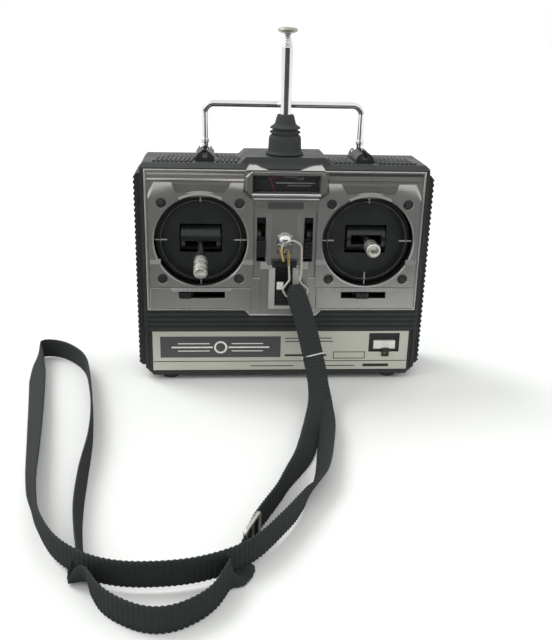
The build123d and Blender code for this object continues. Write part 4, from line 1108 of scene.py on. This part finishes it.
class CONTROLLER_OT_strap(ControllerOperator):
    """Woven neck strap with its keeper band and adjusting buckle"""

    bl_idname = "controller.strap"
    bl_label = "Neck strap"

    def build(self, size):
        knots = np.array([place for place, _ in ROUTE])
        knots[:, 1] += FACE * MM
        across = np.array([direction for _, direction in ROUTE], float)
        line, places = resample(spline_line(knots) / MM, size["weave_pitch"] / 7)
        marks = places[self.ordered(line, knots / MM)]
        wide = np.stack([np.interp(places, marks, across[:, k]) for k in range(3)], 1)
        wide = smoothed(wide, 5)
        half, thick = size["strap_width"] / 2, size["strap_thickness"] / 2
        tangent = np.gradient(line, axis=0)
        tangent /= np.linalg.norm(tangent, axis=1)[:, None]
        wide -= (wide * tangent).sum(1)[:, None] * tangent
        wide /= np.linalg.norm(wide, axis=1)[:, None]
        reach = half * np.abs(wide[:, 2]) + thick * np.sqrt(np.clip(1 - wide[:, 2] ** 2, 0, 1)) + 0.02
        line[:, 2] = np.maximum(line[:, 2], smoothed(reach[:, None], 4)[:, 0])
        line[:, 2] = np.maximum(line[:, 2], reach)
        out = np.cross(tangent, wide)
        rib = np.abs(np.sin(pi * places / size["weave_pitch"])) ** 0.6
        end = np.clip(np.minimum(places, places[-1] - places) / 9.0, 0, 1)
        half_width = (half - 0.35 * (1 - rib)) * (0.5 + 0.5 * np.sin(end * pi / 2))
        half_thick = thick * (0.25 + 0.73 * rib)
        u = np.array((-1.0, -0.97, -0.6, -0.2, 0.2, 0.6, 0.97, 1.0, 0.97, 0.6, 0.2, -0.2, -0.6, -0.97))
        v = np.array((0.0, 0.85, 1.0, 0.97, 0.97, 1.0, 0.85, 0.0, -0.85, -1.0, -0.97, -0.97, -1.0, -0.85))
        points = (line[:, None] + (half_width[:, None] * u)[..., None] * wide[:, None]
                  + (half_thick[:, None] * v)[..., None] * out[:, None])
        count = len(u)
        faces = grid(len(line), count).tolist()
        faces += [list(range(count)), list(range((len(line) - 1) * count, len(line) * count))]
        uv = np.stack(np.broadcast_arrays(places[:, None] * MM, u * half * MM), -1).reshape(-1, 2)
        strap = make("neck_strap", points.reshape(-1, 3), faces, "webbing", body=None, slot="webbing", sharp=180,
                     uv=uv)
        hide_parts("strap_hanging", "strap_loop", "strap_return")
        keeper = self.keeper(size)
        buckle = self.buckle()
        for piece in (strap, keeper):
            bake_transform(piece)

    def ordered(self, line, knots):
        """For each control point, the nearest place on the line, looked for in order."""
        found, start = [], 0
        for knot in knots:
            window = line[start:start + 420]
            start += int(np.argmin(((window - knot) ** 2).sum(1)))
            found.append(start)
        found[-1] = len(line) - 1
        return np.array(found)

    def keeper(self, size):
        """A thin cord tied round both layers of the hanging strap."""
        centre = np.array((17.0, FACE - 26.1, 27.2))
        down = np.array((0.0, -11.0, -18.0))
        down /= np.linalg.norm(down)
        side = np.array((1.0, 0.0, 0.26))
        side /= np.linalg.norm(side)
        out = np.cross(side, down)
        t = np.arange(64) * 2 * pi / 64
        a, b = size["strap_width"] / 2 + 0.45, size["strap_thickness"] + 0.75
        square = 1 / (np.abs(np.cos(t)) ** 6 + np.abs(np.sin(t)) ** 6) ** (1 / 6)
        line = centre + (a * np.cos(t) * square)[:, None] * side + (b * np.sin(t) * square)[:, None] * out
        points, faces = wire_shape(line, 0.42, down, 12, closed=True)
        keeper = make("strap_keeper_cord", points, faces, "keeper_cord", body=None, slot="white_plastic")
        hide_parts("strap_keeper")
        return keeper

    def buckle(self):
        """A slide bent from wire, with a middle bar."""
        low, high = (np.array(corner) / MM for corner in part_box("strap_buckle"))
        start, end = np.array((-28.4, -177.8)), np.array((-22.0, -163.5))
        along = np.append((end - start) / np.linalg.norm(end - start), 0.0)
        centre = (low + high) / 2 + (0.3, -7.0, 0.0)
        centre[2] = 7.4
        up = np.array((0.0, 0.0, 1.0))
        corners = [centre + along * a + up * b for a, b in ((-8.2, -6.4), (8.2, -6.4), (8.2, 6.4), (-8.2, 6.4))]
        middle = [(corners[0] + corners[1]) / 2]
        loop = rounded_line(middle + corners[1:] + corners[:1] + middle, (1.6,) * 4, 8)[:-1]
        aside = np.cross(along, up)
        parts = Parts()
        parts.add(*wire_shape(loop, 0.95, aside, 14, closed=True))
        parts.add(*wire_shape([centre - up * 5.8, centre, centre + up * 5.8], 0.7, aside, 14))
        buckle = parts.make("strap_slide", "nickel_wire", slot="nickel_wire")
        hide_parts("strap_buckle")
        return buckle


class CONTROLLER_OT_stage(ControllerOperator):
    """Pale floor, soft lights and the camera"""

    bl_idname = "controller.stage"
    bl_label = "Stage"

    def build(self, size):
        scene = bpy.context.scene
        scene.view_settings.view_transform = "Standard"
        mesh = bpy.data.meshes.new("floor")
        mesh.from_pydata([(-6, -3, 0), (6, -3, 0), (6, 9, 0), (-6, 9, 0)], [], [(0, 1, 2, 3)])
        floor = bpy.data.objects.new("floor", mesh)
        scene.collection.objects.link(floor)
        floor.data.materials.append(build_finish(
            "pale_floor", tint=(3, EVEN, (0.82, 0.84, 0.82, 1), (0.85, 0.86, 0.84, 1)), Roughness=0.8))
        self.card("far_card", [(-0.45, -1.6, 0), (0.55, -1.6, 0), (0.55, -0.2, 0), (-0.45, -0.2, 0)], 0.05)
        self.card("front_card", [(-1.7, -1.6, 0), (1.7, -1.6, 0), (1.7, -1.6, 0.42), (-1.7, -1.6, 0.42)], 0.05)
        self.card("near_card_left", [(-0.6, -0.2, 0), (0, -0.2, 0), (0, -0.065, 0), (-0.6, -0.065, 0)], 0.36)
        self.card("near_card_right", [(0, -0.2, 0), (0.6, -0.2, 0), (0.6, -0.065, 0), (0, -0.065, 0)], 0.62)
        sun = bpy.data.lights.new("high_window", "SUN")
        sun.energy = 1.3
        sun.angle = radians(28)
        self.aim("high_window", sun, (-0.9, 0.55, 1.3))
        side = bpy.data.lights.new("left_side", "AREA")
        side.size = 0.5
        side.energy = 1.5
        self.aim("left_side", side, (-1.0, -0.5, 0.8))
        world = bpy.data.worlds.new("soft_room")
        world.use_nodes = True
        scene.world = world
        background = world.node_tree.nodes["Background"]
        background.inputs["Color"].default_value = (1.0, 1.0, 1.0, 1)
        background.inputs["Strength"].default_value = 1.0
        self.camera()

    def card(self, name, corners, shade):
        """A card, just clear of the floor, that is met only by reflections."""
        mesh = bpy.data.meshes.new(name)
        mesh.from_pydata([(x, y, z + 0.0004) for x, y, z in corners], [], [(0, 1, 2, 3)])
        card = bpy.data.objects.new(name, mesh)
        bpy.context.scene.collection.objects.link(card)
        low, high = ((shade * part, shade * part, shade * part, 1) for part in (0.95, 1.05))
        mesh.materials.append(build_finish(name, tint=(5, EVEN, low, high), Roughness=0.9))
        for way in ("camera", "diffuse", "transmission", "shadow"):
            setattr(card, f"visible_{way}", False)

    def aim(self, name, data, place):
        lamp = bpy.data.objects.new(name, data)
        lamp.location = place
        aim = Vector((0, -0.02, 0.06)) - Vector(place)
        lamp.rotation_mode = "QUATERNION"
        lamp.rotation_quaternion = aim.to_track_quat("-Z", "Y")
        bpy.context.scene.collection.objects.link(lamp)

    def camera(self):
        """Camera in front and a little to the left, looking down, with a slight roll."""
        pitch, yaw, roll = (radians(turn) for turn in CAMERA_TURNS)
        forward = Vector((sin(yaw) * cos(pitch), cos(yaw) * cos(pitch), -sin(pitch)))
        right = forward.cross(Vector((0, 0, 1))).normalized()
        up = right.cross(forward)
        x = right * cos(roll) + up * sin(roll)
        y = up * cos(roll) - right * sin(roll)
        data = bpy.data.cameras.new("view")
        data.lens = CAMERA_LENS
        data.sensor_width = 36.0
        data.clip_start = 0.01
        camera = bpy.data.objects.new("view", data)
        turn = Matrix((x, y, -forward)).transposed().to_4x4()
        camera.matrix_world = Matrix.Translation(CAMERA_PLACE) @ turn
        bpy.context.scene.collection.objects.link(camera)
        bpy.context.scene.camera = camera


OPERATORS = (CONTROLLER_OT_stage, CONTROLLER_OT_strap, CONTROLLER_OT_case, CONTROLLER_OT_top_ribs,
             CONTROLLER_OT_front_plate, CONTROLLER_OT_label_plate, CONTROLLER_OT_meter, CONTROLLER_OT_screws,
             CONTROLLER_OT_sticks, CONTROLLER_OT_controls, CONTROLLER_OT_aerial, CONTROLLER_OT_handle,
             CONTROLLER_OT_hook)


class CONTROLLER_PT_panel(bpy.types.Panel):
    """Lists the controller's sizes, colours and operators"""

    bl_label = "Controller"
    bl_idname = "CONTROLLER_PT_panel"
    bl_space_type = "VIEW_3D"
    bl_region_type = "UI"
    bl_category = "Controller"

    def draw(self, context):
        for group in (context.scene.controller_sizes, context.scene.controller_colours):
            box = self.layout.box()
            for name in type(group).__annotations__:
                box.prop(group, name)
        for operator in OPERATORS:
            self.layout.operator(operator.bl_idname)


CLASSES = (ControllerSizes, ControllerColours, *OPERATORS, CONTROLLER_PT_panel)


def register():
    for item in CLASSES:
        bpy.utils.register_class(item)
    bpy.types.Scene.controller_sizes = PointerProperty(type=ControllerSizes)
    bpy.types.Scene.controller_colours = PointerProperty(type=ControllerColours)


def unregister():
    del bpy.types.Scene.controller_colours
    del bpy.types.Scene.controller_sizes
    for item in reversed(CLASSES):
        bpy.utils.unregister_class(item)


def main():
    register()
    for operator in OPERATORS:
        group, name = operator.bl_idname.split(".")
        getattr(getattr(bpy.ops, group), name)()


if __name__ == "__main__":
    main()
